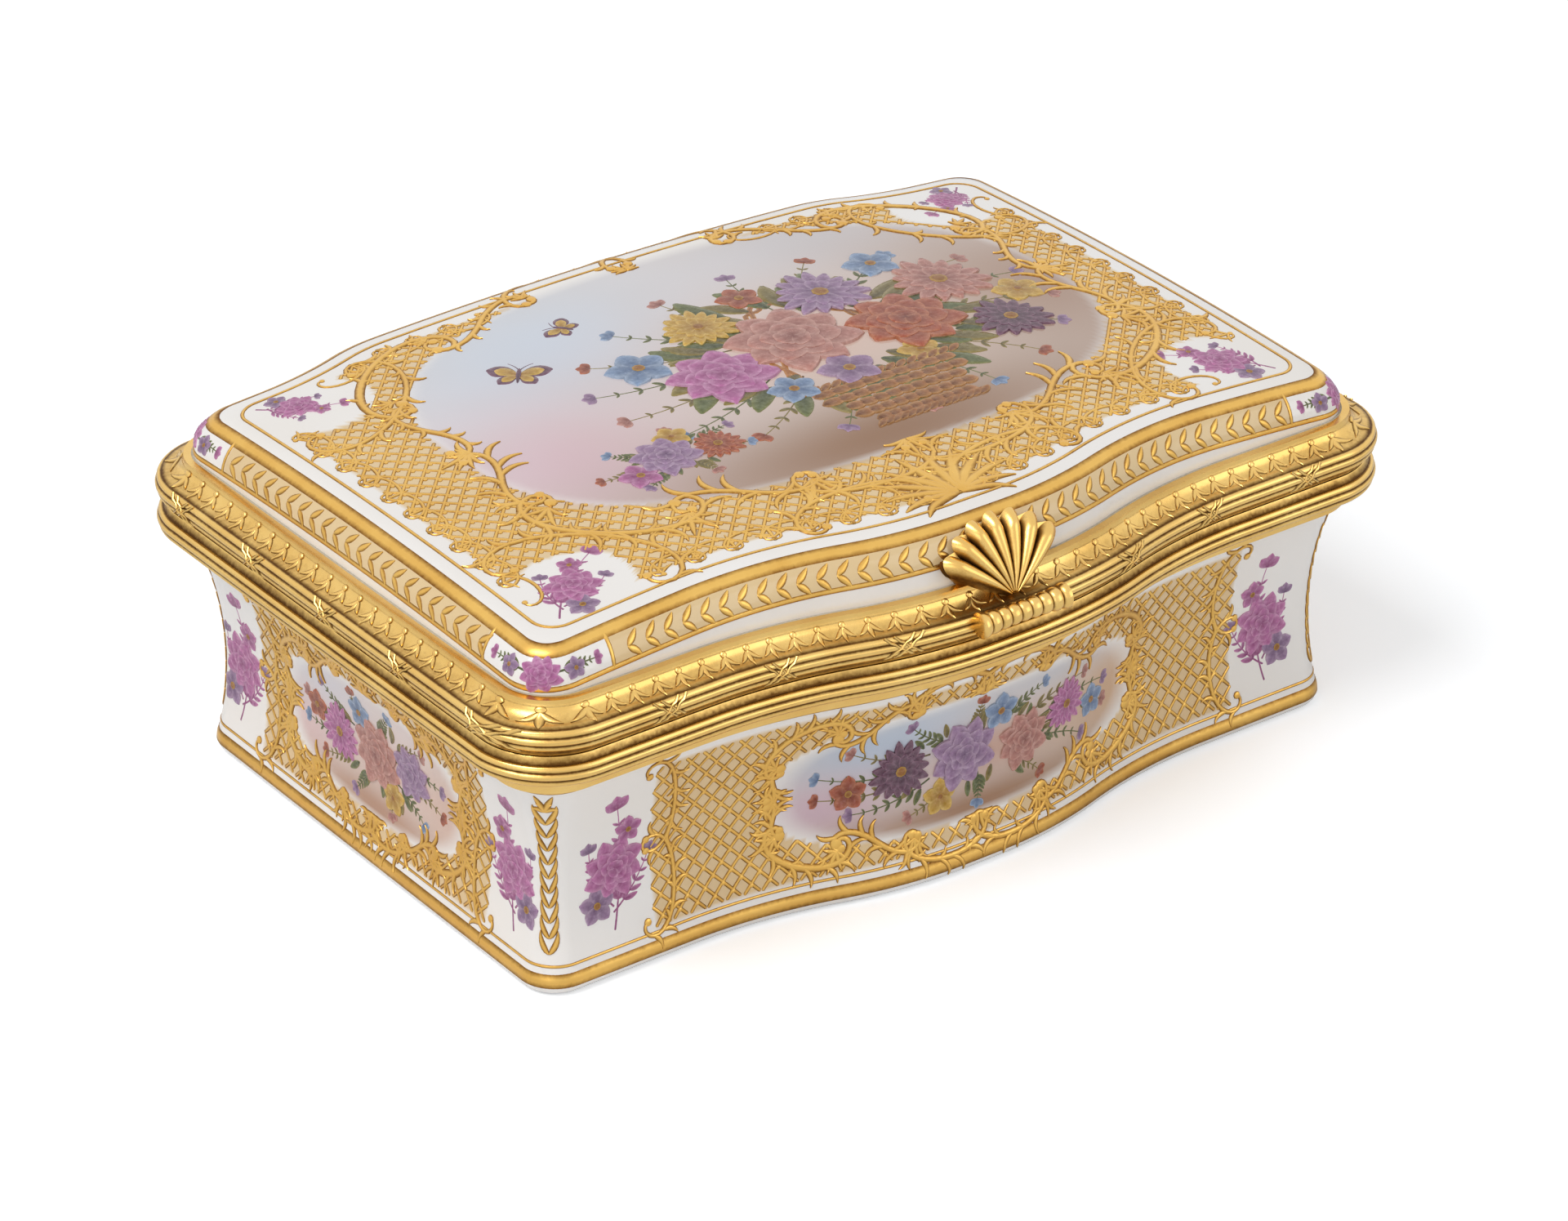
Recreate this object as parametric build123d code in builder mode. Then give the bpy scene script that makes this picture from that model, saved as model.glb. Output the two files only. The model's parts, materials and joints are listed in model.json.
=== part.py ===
from build123d import *
from math import asin, atan2, cos, radians, sin, sqrt, tan
import os

# Rectangular snuff box: a hollow porcelain box and a domed porcelain lid, each bedded in a gilt mount.
# The mounts are joined at the back by a bevelled hinge of tube knuckles on one long pin, and the lid
# closes over an upright throat. The long sides swell in an ogee bow, the short sides are straight,
# and the walls are hollow-curved between the foot and the mount.
# Millimetres. +X runs along the long sides, the thumbpiece is at -Y, the hinge at +Y, and Z = 0 is the
# underside. The origin is the centre of the underside.
# An inset is a distance inwards from the widest line of the mounts, square to it.

# Plan, at the widest line of the mounts
LENGTH = 84.0
WIDTH = 55.8
CORNER_RADIUS = 6.8
SMALLEST_CORNER = 2.0
FRONT_BOW = 3.5
FRONT_STRAIGHT = 10.2
FRONT_CREST = 1.5
BACK_BOW = 1.8
BACK_STRAIGHT = 3.2

# Porcelain box
FOOT_INSET = 3.7
FOOT_ROUND = 1.0
WAIST_INSET = 4.8
WAIST_HEIGHT = 10.0
SEAT_INSET = 3.1
CAVITY_INSET = 7.0
FLOOR = 2.8
CAVITY_FILLET = 1.6
SKIN_OVERLAP = 0.5

# Where lid and box part, and the gap between their mounts
PARTING_HEIGHT = 22.5
PARTING_GAP = 0.1

# Gilt mounts, with heights measured away from the parting
BASE_MOUNT_HEIGHT = 4.0
LID_MOUNT_HEIGHT = 3.7
MOUNT_PLATE = 0.7
LIP_THICKNESS = 0.6
QUIRK_INSET = 0.75
QUIRK_HEIGHT = 0.45
TORUS_INSET = 0.45
TORUS_HEIGHT = 1.9
FILLET_INSET = 0.9
BEDDING = 0.2

# Throat that the lid closes over
THROAT_INSET = 6.45
THROAT_THICKNESS = 0.55
THROAT_RISE = 2.2
THROAT_CLEARANCE = 0.2
THROAT_CHAMFER = 0.15

# Porcelain lid
LID_WALL = 2.6
LID_TOP_THICKNESS = 2.4
CROWN_RISE = 9.1
CROWN_RADIUS = 420.0
SHOULDER_RADIUS = 2.9
LID_HOLLOW_FILLET = 1.2

# Hinge
HINGE_LENGTH = 38.0
HINGE_END_ROOM = 0.5
KNUCKLE_COUNT = 7
KNUCKLE_GAP = 0.12
KNUCKLE_RADIUS = 1.3
KNUCKLE_CLEARANCE = 0.12
PIN_RADIUS = 0.6
PIN_CLEARANCE = 0.05
PLUG_LENGTH = 1.2
PLUG_HEAD_RADIUS = 1.0
PLUG_HEAD_HEIGHT = 0.35
HINGE_SINK = 0.4
BACK_FLAT_MARGIN = 1.5
BEARER_PROUD = 0.9
BEARER_HEIGHT = 3.2
BEARER_INSET = 2.2
BEARER_BEVEL = 52.0

# Shell thumbpiece, a fan of lobes that rises over the shoulder from a scroll on the mount
LOBE_COUNT = 5
LOBE_SPREAD = 112.0
LOBE_OVERREACH = 0.25
LOBE_RADIUS = 1.25
LOBE_ROOT_RADIUS = 0.55
FAN_SINK = 0.05
FAN_ROOT_INSET = 0.7
FAN_ROOT_RISE = 2.5
FAN_BACKING = 1.9
SCROLL_RADIUS = 0.95
SCROLL_END_RADIUS = 1.15
SCROLL_LENGTH = 6.4
SCROLL_RISE = 1.75
SCROLL_PROUD = 0.35

# Worked out from the sizes above
BASE_TOP = PARTING_HEIGHT - PARTING_GAP / 2
BASE_LIP_END = BASE_TOP - BASE_MOUNT_HEIGHT
BODY_TOP = BASE_TOP - MOUNT_PLATE - BEDDING
LID_BOTTOM = PARTING_HEIGHT + PARTING_GAP / 2
LID_SEAT = LID_BOTTOM + MOUNT_PLATE + BEDDING
BEDDING_INSET = SEAT_INSET - BEDDING
LIP_INSET = BEDDING_INSET - LIP_THICKNESS
SWEEP_INSET = SEAT_INSET + SKIN_OVERLAP
SKIN_INSET = WAIST_INSET + SKIN_OVERLAP
LID_PLATE_INSET = THROAT_INSET - THROAT_CLEARANCE
LID_HOLLOW_INSET = SEAT_INSET + LID_WALL
FRONT_LINE = WIDTH / 2 + FRONT_BOW
BACK_LINE = WIDTH / 2 + BACK_BOW
BACK_FLAT = HINGE_LENGTH / 2 + BACK_FLAT_MARGIN
FRONT_BOW_START = LENGTH / 2 - CORNER_RADIUS - FRONT_STRAIGHT
BACK_BOW_START = LENGTH / 2 - CORNER_RADIUS - BACK_STRAIGHT
CROWN_HEIGHT = PARTING_HEIGHT + CROWN_RISE
HINGE_Y = BACK_LINE - HINGE_SINK
BARREL_END = HINGE_LENGTH / 2 - HINGE_END_ROOM
PITCH = 2 * BARREL_END / KNUCKLE_COUNT
BASE_KNUCKLES = range(0, KNUCKLE_COUNT, 2)
LID_KNUCKLES = range(1, KNUCKLE_COUNT, 2)

parts = []


def finish(piece, name):
    """Labels a finished piece and keeps it for export."""
    piece.label = name
    parts.append(piece)


def ogee(start, crest, bow, inset):
    """Five points on the two tangent arcs by which a long side swells out by bow between x = start and
    x = crest.

    The y of a point is its distance out from the middle of the box. Both arcs keep their centres for
    every inset, so all outlines run parallel.
    """
    run = start - crest
    radius = (run**2 + bow**2) / (4 * bow)
    outward = Vector(0, 1)
    hollow_centre = Vector(start, WIDTH / 2 + radius)
    swell_centre = Vector(crest, WIDTH / 2 + bow - radius)
    across = (swell_centre - hollow_centre).normalized()
    hollow_radius = radius + inset
    swell_radius = radius - inset
    return [
        hollow_centre - outward * hollow_radius,
        hollow_centre + (across - outward).normalized() * hollow_radius,
        hollow_centre + across * hollow_radius,
        swell_centre + (outward - across).normalized() * swell_radius,
        swell_centre + outward * swell_radius,
    ]


def swollen_side(points, direction):
    """Both ogees and the flat crest of a long side. Direction is 1 for the back and -1 for the front."""
    near = [(direction * point.X, direction * point.Y) for point in points]
    far = [(-direction * point.X, direction * point.Y) for point in points]
    ThreePointArc(near[0], near[1], near[2])
    ThreePointArc(near[2], near[3], near[4])
    Line(near[4], far[4])
    ThreePointArc(far[4], far[3], far[2])
    ThreePointArc(far[2], far[1], far[0])


def outline(inset):
    """Plan outline at an inset, counter-clockwise from the middle of the right side."""
    side_x = LENGTH / 2 - inset
    side_y = WIDTH / 2 - inset
    radius = max(CORNER_RADIUS - inset, SMALLEST_CORNER)
    corner_x = side_x - radius
    corner_y = side_y - radius
    with BuildLine() as line:
        Line((side_x, 0), (side_x, corner_y))
        CenterArc((corner_x, corner_y), radius, 0, 90)
        Line((corner_x, side_y), (BACK_BOW_START, side_y))
        swollen_side(ogee(BACK_BOW_START, BACK_FLAT, BACK_BOW, inset), 1)
        Line((-BACK_BOW_START, side_y), (-corner_x, side_y))
        CenterArc((-corner_x, corner_y), radius, 90, 90)
        Line((-side_x, corner_y), (-side_x, -corner_y))
        CenterArc((-corner_x, -corner_y), radius, 180, 90)
        Line((-corner_x, -side_y), (-FRONT_BOW_START, -side_y))
        swollen_side(ogee(FRONT_BOW_START, FRONT_CREST, FRONT_BOW, inset), -1)
        Line((FRONT_BOW_START, -side_y), (corner_x, -side_y))
        CenterArc((corner_x, -corner_y), radius, 270, 90)
        Line((side_x, -corner_y), (side_x, 0))
    return Wire(line.edges())


def outline_face(inset, height):
    """The flat face inside an outline, at a height."""
    return Face(outline(inset)).moved(Location((0, 0, height)))


def ring_face(outer_inset, inner_inset, height):
    """The flat face between two outlines, at a height."""
    return outline_face(outer_inset, height) - outline_face(inner_inset, height)


RAIL = outline(0)
# Drawn on this plane, x is an inset and y is a height
SECTION = Plane(origin=RAIL @ 0, x_dir=(-1, 0, 0), z_dir=RAIL % 0)


def mount_section(parting, height, way):
    """Section of a mount: quirk, torus, fillet, cavetto, lip and plate. Way is 1 upwards, -1 downwards."""
    fillet_rise = QUIRK_HEIGHT + TORUS_HEIGHT
    # The cavetto leaves the fillet level and meets the lip upright
    hollow_inset = FILLET_INSET + (LIP_INSET - FILLET_INSET) * sin(radians(45))
    hollow_rise = fillet_rise + (height - fillet_rise) * (1 - cos(radians(45)))

    def at(inset, rise):
        return (inset, parting + way * rise)

    with BuildLine() as line:
        Line(at(SWEEP_INSET, 0), at(QUIRK_INSET, 0))
        Line(at(QUIRK_INSET, 0), at(TORUS_INSET, QUIRK_HEIGHT))
        torus_crest = at(0, QUIRK_HEIGHT + TORUS_HEIGHT / 2)
        ThreePointArc(at(TORUS_INSET, QUIRK_HEIGHT), torus_crest, at(TORUS_INSET, fillet_rise))
        Line(at(TORUS_INSET, fillet_rise), at(FILLET_INSET, fillet_rise))
        ThreePointArc(at(FILLET_INSET, fillet_rise), at(hollow_inset, hollow_rise), at(LIP_INSET, height))
        Line(at(LIP_INSET, height), at(BEDDING_INSET, height))
        Line(at(BEDDING_INSET, height), at(BEDDING_INSET, MOUNT_PLATE))
        Line(at(BEDDING_INSET, MOUNT_PLATE), at(SWEEP_INSET, MOUNT_PLATE))
        Line(at(SWEEP_INSET, MOUNT_PLATE), at(SWEEP_INSET, 0))
    make_face(line.edges())


def bedding_section(parting, height, way):
    """Section of the thin bed that lines a mount's lip and plate. Way is 1 upwards, -1 downwards."""
    plate = parting + way * MOUNT_PLATE
    seat = plate + way * BEDDING
    end = parting + way * height
    Polygon(
        (BEDDING_INSET, plate),
        (BEDDING_INSET, end),
        (SEAT_INSET, end),
        (SEAT_INSET, seat),
        (SWEEP_INSET, seat),
        (SWEEP_INSET, plate),
        align=None,
    )


def knuckle_start(index):
    """Where a knuckle's share of the hinge begins along X."""
    return index * PITCH - BARREL_END


def hinge_plane(x):
    """Plane square to the hinge pin, with its origin on the pin's axis, its x to the back and its y up."""
    return Plane(origin=(x, HINGE_Y, PARTING_HEIGHT), x_dir=(0, 1, 0), z_dir=(1, 0, 0))


def hinge_pocket(way):
    """The box that a bearer's seat takes out of its mount."""
    depth = 2 * BEARER_INSET
    middle = PARTING_HEIGHT + way * BEARER_HEIGHT / 2
    pocket = Box(HINGE_LENGTH, depth, BEARER_HEIGHT, mode=Mode.PRIVATE)
    return pocket.moved(Location((0, BACK_LINE - BEARER_INSET + depth / 2, middle)))


def hinge_bearer(way, own_knuckles):
    """The bar that carries one side's knuckles, bevelled at its back so that the two bars meet as a stop.

    Its own knuckles lie tight in the bar, and the other side's knuckles have running clearance.
    """
    inner = BACK_LINE - BEARER_INSET - HINGE_Y
    bevel_rise = BEARER_PROUD * tan(radians(BEARER_BEVEL))
    with BuildPart() as bearer:
        with BuildSketch(hinge_plane(-HINGE_LENGTH / 2)):
            Polygon(
                (inner, way * PARTING_GAP / 2),
                (inner, way * BEARER_HEIGHT),
                (BEARER_PROUD, way * BEARER_HEIGHT),
                (BEARER_PROUD, way * bevel_rise),
                (0, 0),
                (-KNUCKLE_RADIUS / 2, way * PARTING_GAP / 2),
                align=None,
            )
            Circle(KNUCKLE_RADIUS, mode=Mode.SUBTRACT)
        extrude(amount=HINGE_LENGTH)
        for index in range(KNUCKLE_COUNT):
            if index not in own_knuckles:
                with BuildSketch(hinge_plane(knuckle_start(index) - KNUCKLE_GAP / 2)):
                    Circle(KNUCKLE_RADIUS + KNUCKLE_CLEARANCE)
                extrude(amount=PITCH + KNUCKLE_GAP, mode=Mode.SUBTRACT)
    return bearer.part


def hinge_knuckle(index, bore_radius):
    """One tube of the hinge."""
    with BuildPart() as tube:
        with BuildSketch(hinge_plane(knuckle_start(index) + KNUCKLE_GAP / 2)):
            Circle(KNUCKLE_RADIUS)
            Circle(bore_radius, mode=Mode.SUBTRACT)
        extrude(amount=PITCH - KNUCKLE_GAP)
    return tube.part


# Porcelain box: a swept hollow-curved skin over a plain core, with a straight-walled cavity
with BuildPart() as body_shell:
    add(extrude(outline_face(WAIST_INSET, 0), amount=BODY_TOP, mode=Mode.PRIVATE))
    with BuildSketch(SECTION):
        with BuildLine():
            Line((SKIN_INSET, 0), (FOOT_INSET + FOOT_ROUND, 0))
            RadiusArc((FOOT_INSET + FOOT_ROUND, 0), (FOOT_INSET, FOOT_ROUND), FOOT_ROUND)
            ThreePointArc((FOOT_INSET, FOOT_ROUND), (WAIST_INSET, WAIST_HEIGHT), (SEAT_INSET, BASE_LIP_END))
            Line((SEAT_INSET, BASE_LIP_END), (SEAT_INSET, BODY_TOP))
            Line((SEAT_INSET, BODY_TOP), (SKIN_INSET, BODY_TOP))
            Line((SKIN_INSET, BODY_TOP), (SKIN_INSET, 0))
        make_face()
    sweep(path=RAIL)
    cavity = extrude(outline_face(CAVITY_INSET, FLOOR), amount=BODY_TOP, mode=Mode.PRIVATE)
    add(cavity, mode=Mode.SUBTRACT)
    floor_face = body_shell.faces().filter_by(Axis.Z).group_by(Axis.Z)[1]
    fillet(floor_face.edges(), CAVITY_FILLET)
finish(body_shell.part, "body_shell")

# Thin bed between the porcelain box and its mount
with BuildPart() as base_bedding:
    with BuildSketch(SECTION):
        bedding_section(BASE_TOP, BASE_MOUNT_HEIGHT, -1)
    sweep(path=RAIL)
    add(extrude(ring_face(SEAT_INSET, CAVITY_INSET, BODY_TOP), amount=BEDDING, mode=Mode.PRIVATE))
finish(base_bedding.part, "base_bedding")

# Gilt mount of the box: a swept moulding with a flat plate over the rim
with BuildPart() as base_mount:
    with BuildSketch(SECTION):
        mount_section(BASE_TOP, BASE_MOUNT_HEIGHT, -1)
    sweep(path=RAIL)
    plate = ring_face(SEAT_INSET, THROAT_INSET, BASE_TOP - MOUNT_PLATE)
    add(extrude(plate, amount=MOUNT_PLATE, mode=Mode.PRIVATE))
    add(hinge_pocket(-1), mode=Mode.SUBTRACT)
finish(base_mount.part, "base_mount")

# Upright strip inside the mount's plate
with BuildPart() as base_throat:
    strip = ring_face(THROAT_INSET, THROAT_INSET + THROAT_THICKNESS, BASE_TOP - MOUNT_PLATE)
    add(extrude(strip, amount=MOUNT_PLATE + THROAT_RISE, mode=Mode.PRIVATE))
    top_face = base_throat.faces().filter_by(Axis.Z).sort_by(Axis.Z)[-1]
    chamfer(top_face.edges(), THROAT_CHAMFER)
finish(base_throat.part, "base_throat")

# Space inside the lid, up to the underside of its dome
dome_centre = Location((0, 0, CROWN_HEIGHT - CROWN_RADIUS))
with BuildPart() as lid_hollow:
    add(extrude(outline_face(LID_HOLLOW_INSET, LID_SEAT), amount=CROWN_HEIGHT, mode=Mode.PRIVATE))
    inner_ball = Sphere(CROWN_RADIUS - LID_TOP_THICKNESS, mode=Mode.PRIVATE)
    add(inner_ball.moved(dome_centre), mode=Mode.INTERSECT)
    ceiling = lid_hollow.faces().sort_by(Axis.Z)[-1]
    fillet(ceiling.edges(), LID_HOLLOW_FILLET)

# Porcelain lid: an upright wall and a shallow dome with a rounded shoulder
with BuildPart() as lid_panel:
    add(extrude(outline_face(SEAT_INSET, LID_SEAT), amount=CROWN_HEIGHT, mode=Mode.PRIVATE))
    outer_ball = Sphere(CROWN_RADIUS, mode=Mode.PRIVATE)
    add(outer_ball.moved(dome_centre), mode=Mode.INTERSECT)
    dome_face = lid_panel.faces().sort_by(Axis.Z)[-1]
    fillet(dome_face.edges(), SHOULDER_RADIUS)
    add(lid_hollow.part, mode=Mode.SUBTRACT)
finish(lid_panel.part, "lid_panel")

# Thin bed between the porcelain lid and its mount
with BuildPart() as lid_bedding:
    with BuildSketch(SECTION):
        bedding_section(LID_BOTTOM, LID_MOUNT_HEIGHT, 1)
    sweep(path=RAIL)
    rim = ring_face(SEAT_INSET, LID_HOLLOW_INSET, LID_SEAT - BEDDING)
    add(extrude(rim, amount=BEDDING, mode=Mode.PRIVATE))
finish(lid_bedding.part, "lid_bedding")

# Gilt mount of the lid, whose plate clears the throat
with BuildPart() as lid_mount:
    with BuildSketch(SECTION):
        mount_section(LID_BOTTOM, LID_MOUNT_HEIGHT, 1)
    sweep(path=RAIL)
    plate = ring_face(SEAT_INSET, LID_PLATE_INSET, LID_BOTTOM)
    add(extrude(plate, amount=MOUNT_PLATE, mode=Mode.PRIVATE))
    add(hinge_pocket(1), mode=Mode.SUBTRACT)
finish(lid_mount.part, "lid_mount")

# Hinge: two bevelled bearers, alternate knuckles and one pin that is tight in the box's knuckles
finish(hinge_bearer(-1, BASE_KNUCKLES), "base_hinge_bearer")
finish(hinge_bearer(1, LID_KNUCKLES), "lid_hinge_bearer")
for count, index in enumerate(BASE_KNUCKLES, start=1):
    finish(hinge_knuckle(index, PIN_RADIUS), f"base_knuckle_{count}")
for count, index in enumerate(LID_KNUCKLES, start=1):
    finish(hinge_knuckle(index, PIN_RADIUS + PIN_CLEARANCE), f"lid_knuckle_{count}")

pin_end = BARREL_END - KNUCKLE_GAP / 2 - PLUG_LENGTH
with BuildPart() as hinge_pin:
    with BuildSketch(hinge_plane(-pin_end)):
        Circle(PIN_RADIUS)
    extrude(amount=2 * pin_end)
finish(hinge_pin.part, "hinge_pin")

# Domed plugs that close the bores of the end knuckles
plug_plane = Plane(origin=(pin_end, HINGE_Y, PARTING_HEIGHT), x_dir=(1, 0, 0), z_dir=(0, -1, 0))
plug_dome_radius = (PLUG_HEAD_RADIUS**2 + PLUG_HEAD_HEIGHT**2) / (2 * PLUG_HEAD_HEIGHT)
with BuildPart() as pin_plug_right:
    with BuildSketch(plug_plane):
        with BuildLine():
            Line((0, 0), (0, PIN_RADIUS))
            Line((0, PIN_RADIUS), (PLUG_LENGTH, PIN_RADIUS))
            Line((PLUG_LENGTH, PIN_RADIUS), (PLUG_LENGTH, PLUG_HEAD_RADIUS))
            dome_top = (PLUG_LENGTH + PLUG_HEAD_HEIGHT, 0)
            RadiusArc((PLUG_LENGTH, PLUG_HEAD_RADIUS), dome_top, plug_dome_radius)
            Line(dome_top, (0, 0))
        make_face()
    revolve(axis=Axis(plug_plane.origin, (1, 0, 0)))
finish(pin_plug_right.part, "pin_plug_right")
finish(mirror(pin_plug_right.part, about=Plane.YZ), "pin_plug_left")

# Thumbpiece: shell lobes on a plane that rises from the mount and just touches the lid's shoulder,
# backed down to the lid and its mount, and the scroll
shoulder_inset = SEAT_INSET + SHOULDER_RADIUS
shoulder_edge = sqrt(CROWN_RADIUS**2 - (FRONT_LINE - shoulder_inset) ** 2)
shoulder_centre = CROWN_HEIGHT - CROWN_RADIUS + shoulder_edge - SHOULDER_RADIUS
fan_root = LID_BOTTOM + FAN_ROOT_RISE
shoulder_run = sqrt((shoulder_inset - FAN_ROOT_INSET) ** 2 + (shoulder_centre - fan_root) ** 2)
fan_clear = SHOULDER_RADIUS - FAN_SINK
fan_slope = atan2(shoulder_centre - fan_root, shoulder_inset - FAN_ROOT_INSET) + asin(fan_clear / shoulder_run)
lobe_reach = sqrt(shoulder_run**2 - fan_clear**2) + LOBE_OVERREACH
fan_plane = Plane(
    origin=(0, FAN_ROOT_INSET - FRONT_LINE, fan_root),
    x_dir=(1, 0, 0),
    z_dir=(0, -sin(fan_slope), cos(fan_slope)),
)
scroll_height = LID_BOTTOM + SCROLL_RISE
with BuildPart() as thumbpiece:
    for index in range(LOBE_COUNT):
        turn = LOBE_SPREAD * (0.5 - index / (LOBE_COUNT - 1))
        lobe_plane = fan_plane.rotated((0, 0, turn))
        with BuildSketch(lobe_plane):
            Polygon(
                (-LOBE_ROOT_RADIUS, 0),
                (LOBE_ROOT_RADIUS, 0),
                (LOBE_RADIUS, lobe_reach),
                (-LOBE_RADIUS, lobe_reach),
                align=None,
            )
            with Locations((0, lobe_reach)):
                Circle(LOBE_RADIUS)
        extrude(amount=-FAN_BACKING)
        with BuildSketch(Plane(origin=lobe_plane.origin, x_dir=lobe_plane.x_dir, z_dir=lobe_plane.y_dir)):
            Circle(LOBE_ROOT_RADIUS)
        tip_origin = lobe_plane.from_local_coords((0, lobe_reach, 0))
        with BuildSketch(Plane(origin=tip_origin, x_dir=lobe_plane.x_dir, z_dir=lobe_plane.y_dir)):
            Circle(LOBE_RADIUS)
        loft()
        with Locations(Location(tip_origin)):
            Sphere(LOBE_RADIUS)
    with Locations((0, -FRONT_LINE - SCROLL_PROUD, scroll_height)):
        Cylinder(SCROLL_RADIUS, SCROLL_LENGTH, rotation=(0, 90, 0))
        with Locations((-SCROLL_LENGTH / 2, 0), (SCROLL_LENGTH / 2, 0)):
            Sphere(SCROLL_END_RADIUS)
    add(lid_panel.part, mode=Mode.SUBTRACT)
    add(lid_bedding.part, mode=Mode.SUBTRACT)
    add(lid_mount.part, mode=Mode.SUBTRACT)
finish(thumbpiece.part, "thumbpiece")

os.makedirs("parts", exist_ok=True)
for piece in parts:
    export_step(piece, f"parts/{piece.label}.step")
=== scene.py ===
"""Looks of a rectangular porcelain snuff box in gilt mounts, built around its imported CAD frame.

Inside the classes every length is in millimetres, in the frame's own axes: +X runs along the long
sides, -Y is the front with the thumbpiece, +Y the hinge, and Z = 0 is the underside. Meshes are
written in metres. An inset is a distance inwards from the widest line of the mounts, square to it.
"""

import json
import logging
import math
from dataclasses import dataclass, field, replace
from enum import Enum
from functools import cached_property
from typing import Callable, Optional, Union

import bpy
import numpy as np
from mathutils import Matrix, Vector
from numpy.typing import NDArray

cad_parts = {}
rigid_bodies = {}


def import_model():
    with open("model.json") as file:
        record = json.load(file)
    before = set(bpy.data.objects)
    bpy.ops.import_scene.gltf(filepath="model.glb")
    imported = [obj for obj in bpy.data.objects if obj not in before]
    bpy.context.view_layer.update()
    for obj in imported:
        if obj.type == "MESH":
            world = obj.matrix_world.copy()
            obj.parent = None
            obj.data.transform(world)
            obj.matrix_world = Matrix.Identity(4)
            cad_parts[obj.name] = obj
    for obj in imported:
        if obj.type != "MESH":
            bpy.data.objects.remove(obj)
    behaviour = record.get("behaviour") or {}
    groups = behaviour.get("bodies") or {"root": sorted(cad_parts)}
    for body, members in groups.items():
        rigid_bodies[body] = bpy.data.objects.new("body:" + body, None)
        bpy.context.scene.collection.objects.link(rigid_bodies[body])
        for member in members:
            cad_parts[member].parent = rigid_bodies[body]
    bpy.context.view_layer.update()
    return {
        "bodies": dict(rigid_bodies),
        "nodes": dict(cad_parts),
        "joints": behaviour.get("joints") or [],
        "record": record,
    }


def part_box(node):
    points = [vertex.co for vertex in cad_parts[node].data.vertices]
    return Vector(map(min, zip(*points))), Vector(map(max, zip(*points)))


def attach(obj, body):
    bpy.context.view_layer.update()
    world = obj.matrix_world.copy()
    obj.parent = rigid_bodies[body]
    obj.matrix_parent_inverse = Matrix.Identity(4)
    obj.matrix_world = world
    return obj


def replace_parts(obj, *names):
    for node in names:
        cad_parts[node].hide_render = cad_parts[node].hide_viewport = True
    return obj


Array = NDArray[np.float64]
Mask = NDArray[np.bool_]
Track = NDArray[np.complex128]
Colour = tuple[float, float, float]
Point = tuple[float, float]
Spot = tuple[float, float, float]
Skin = Callable[[Array], Array]

MM = 0.001
log = logging.getLogger("snuff_box")


class Body(str, Enum):
    """The two CAD bodies that pieces ride on."""

    BASE = "base"
    LID = "lid"


class Slot(str, Enum):
    """Material slots of the record."""

    PORCELAIN = "porcelain"
    GILT_METAL = "gilt_metal"
    BEDDING = "bedding"
    PIN_STEEL = "pin_steel"


class Side(Enum):
    """The four sides of the box."""

    FRONT = "front"
    RIGHT = "right"
    BACK = "back"
    LEFT = "left"


class Copies(Enum):
    """Mirrored copies of a stroke about its centre, by the signs of both directions."""

    ONE = ((1, 1),)
    PAIR = ((1, 1), (-1, 1))
    NEAR_PAIR = ((1, -1), (-1, -1))
    FOUR = ((1, 1), (-1, 1), (1, -1), (-1, -1))


class Curl(Enum):
    """Which way the two ends of a scroll turn."""

    C = "same way"
    S = "opposite ways"


class Flower(Enum):
    """Kinds of enamel flower."""

    ROSE = "rose"
    ASTER = "aster"
    BLOSSOM = "blossom"


@dataclass(frozen=True)
class Finish:
    """A material, with the slot of the record that it belongs to."""

    material: bpy.types.Material
    slot: Slot


def tint(code: str) -> Colour:
    """Linear colour of a six-digit hex code.

    Args:
        code: Red, green and blue as shown on a screen, such as "c9a05a".

    Returns:
        The three linear values, by the usual screen curve.
    """
    screen = [int(code[start:start + 2], 16) / 255 for start in (0, 2, 4)]
    red, green, blue = [c / 12.92 if c <= 0.04045 else ((c + 0.055) / 1.055) ** 2.4 for c in screen]
    return (red, green, blue)


def blend_colours(first: Array, second: Array, share: Array) -> Array:
    """Mixes two colour arrays by a share between 0 and 1, value by value."""
    weight = np.clip(share, 0, 1)[..., None]
    return first * (1 - weight) + second * weight


def evenly(count: int) -> Array:
    """Even shares from 0, short of 1."""
    return np.linspace(0, 1, count, endpoint=False)


def share_of(half: complex, across: float, up: float) -> complex:
    """The point at these shares of two half sizes."""
    return complex(across * half.real, up * half.imag)


def quarter(count: int) -> Array:
    """Angles of a quarter turn, without its ends."""
    return np.linspace(0, math.pi / 2, count + 2)[1:-1]


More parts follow.
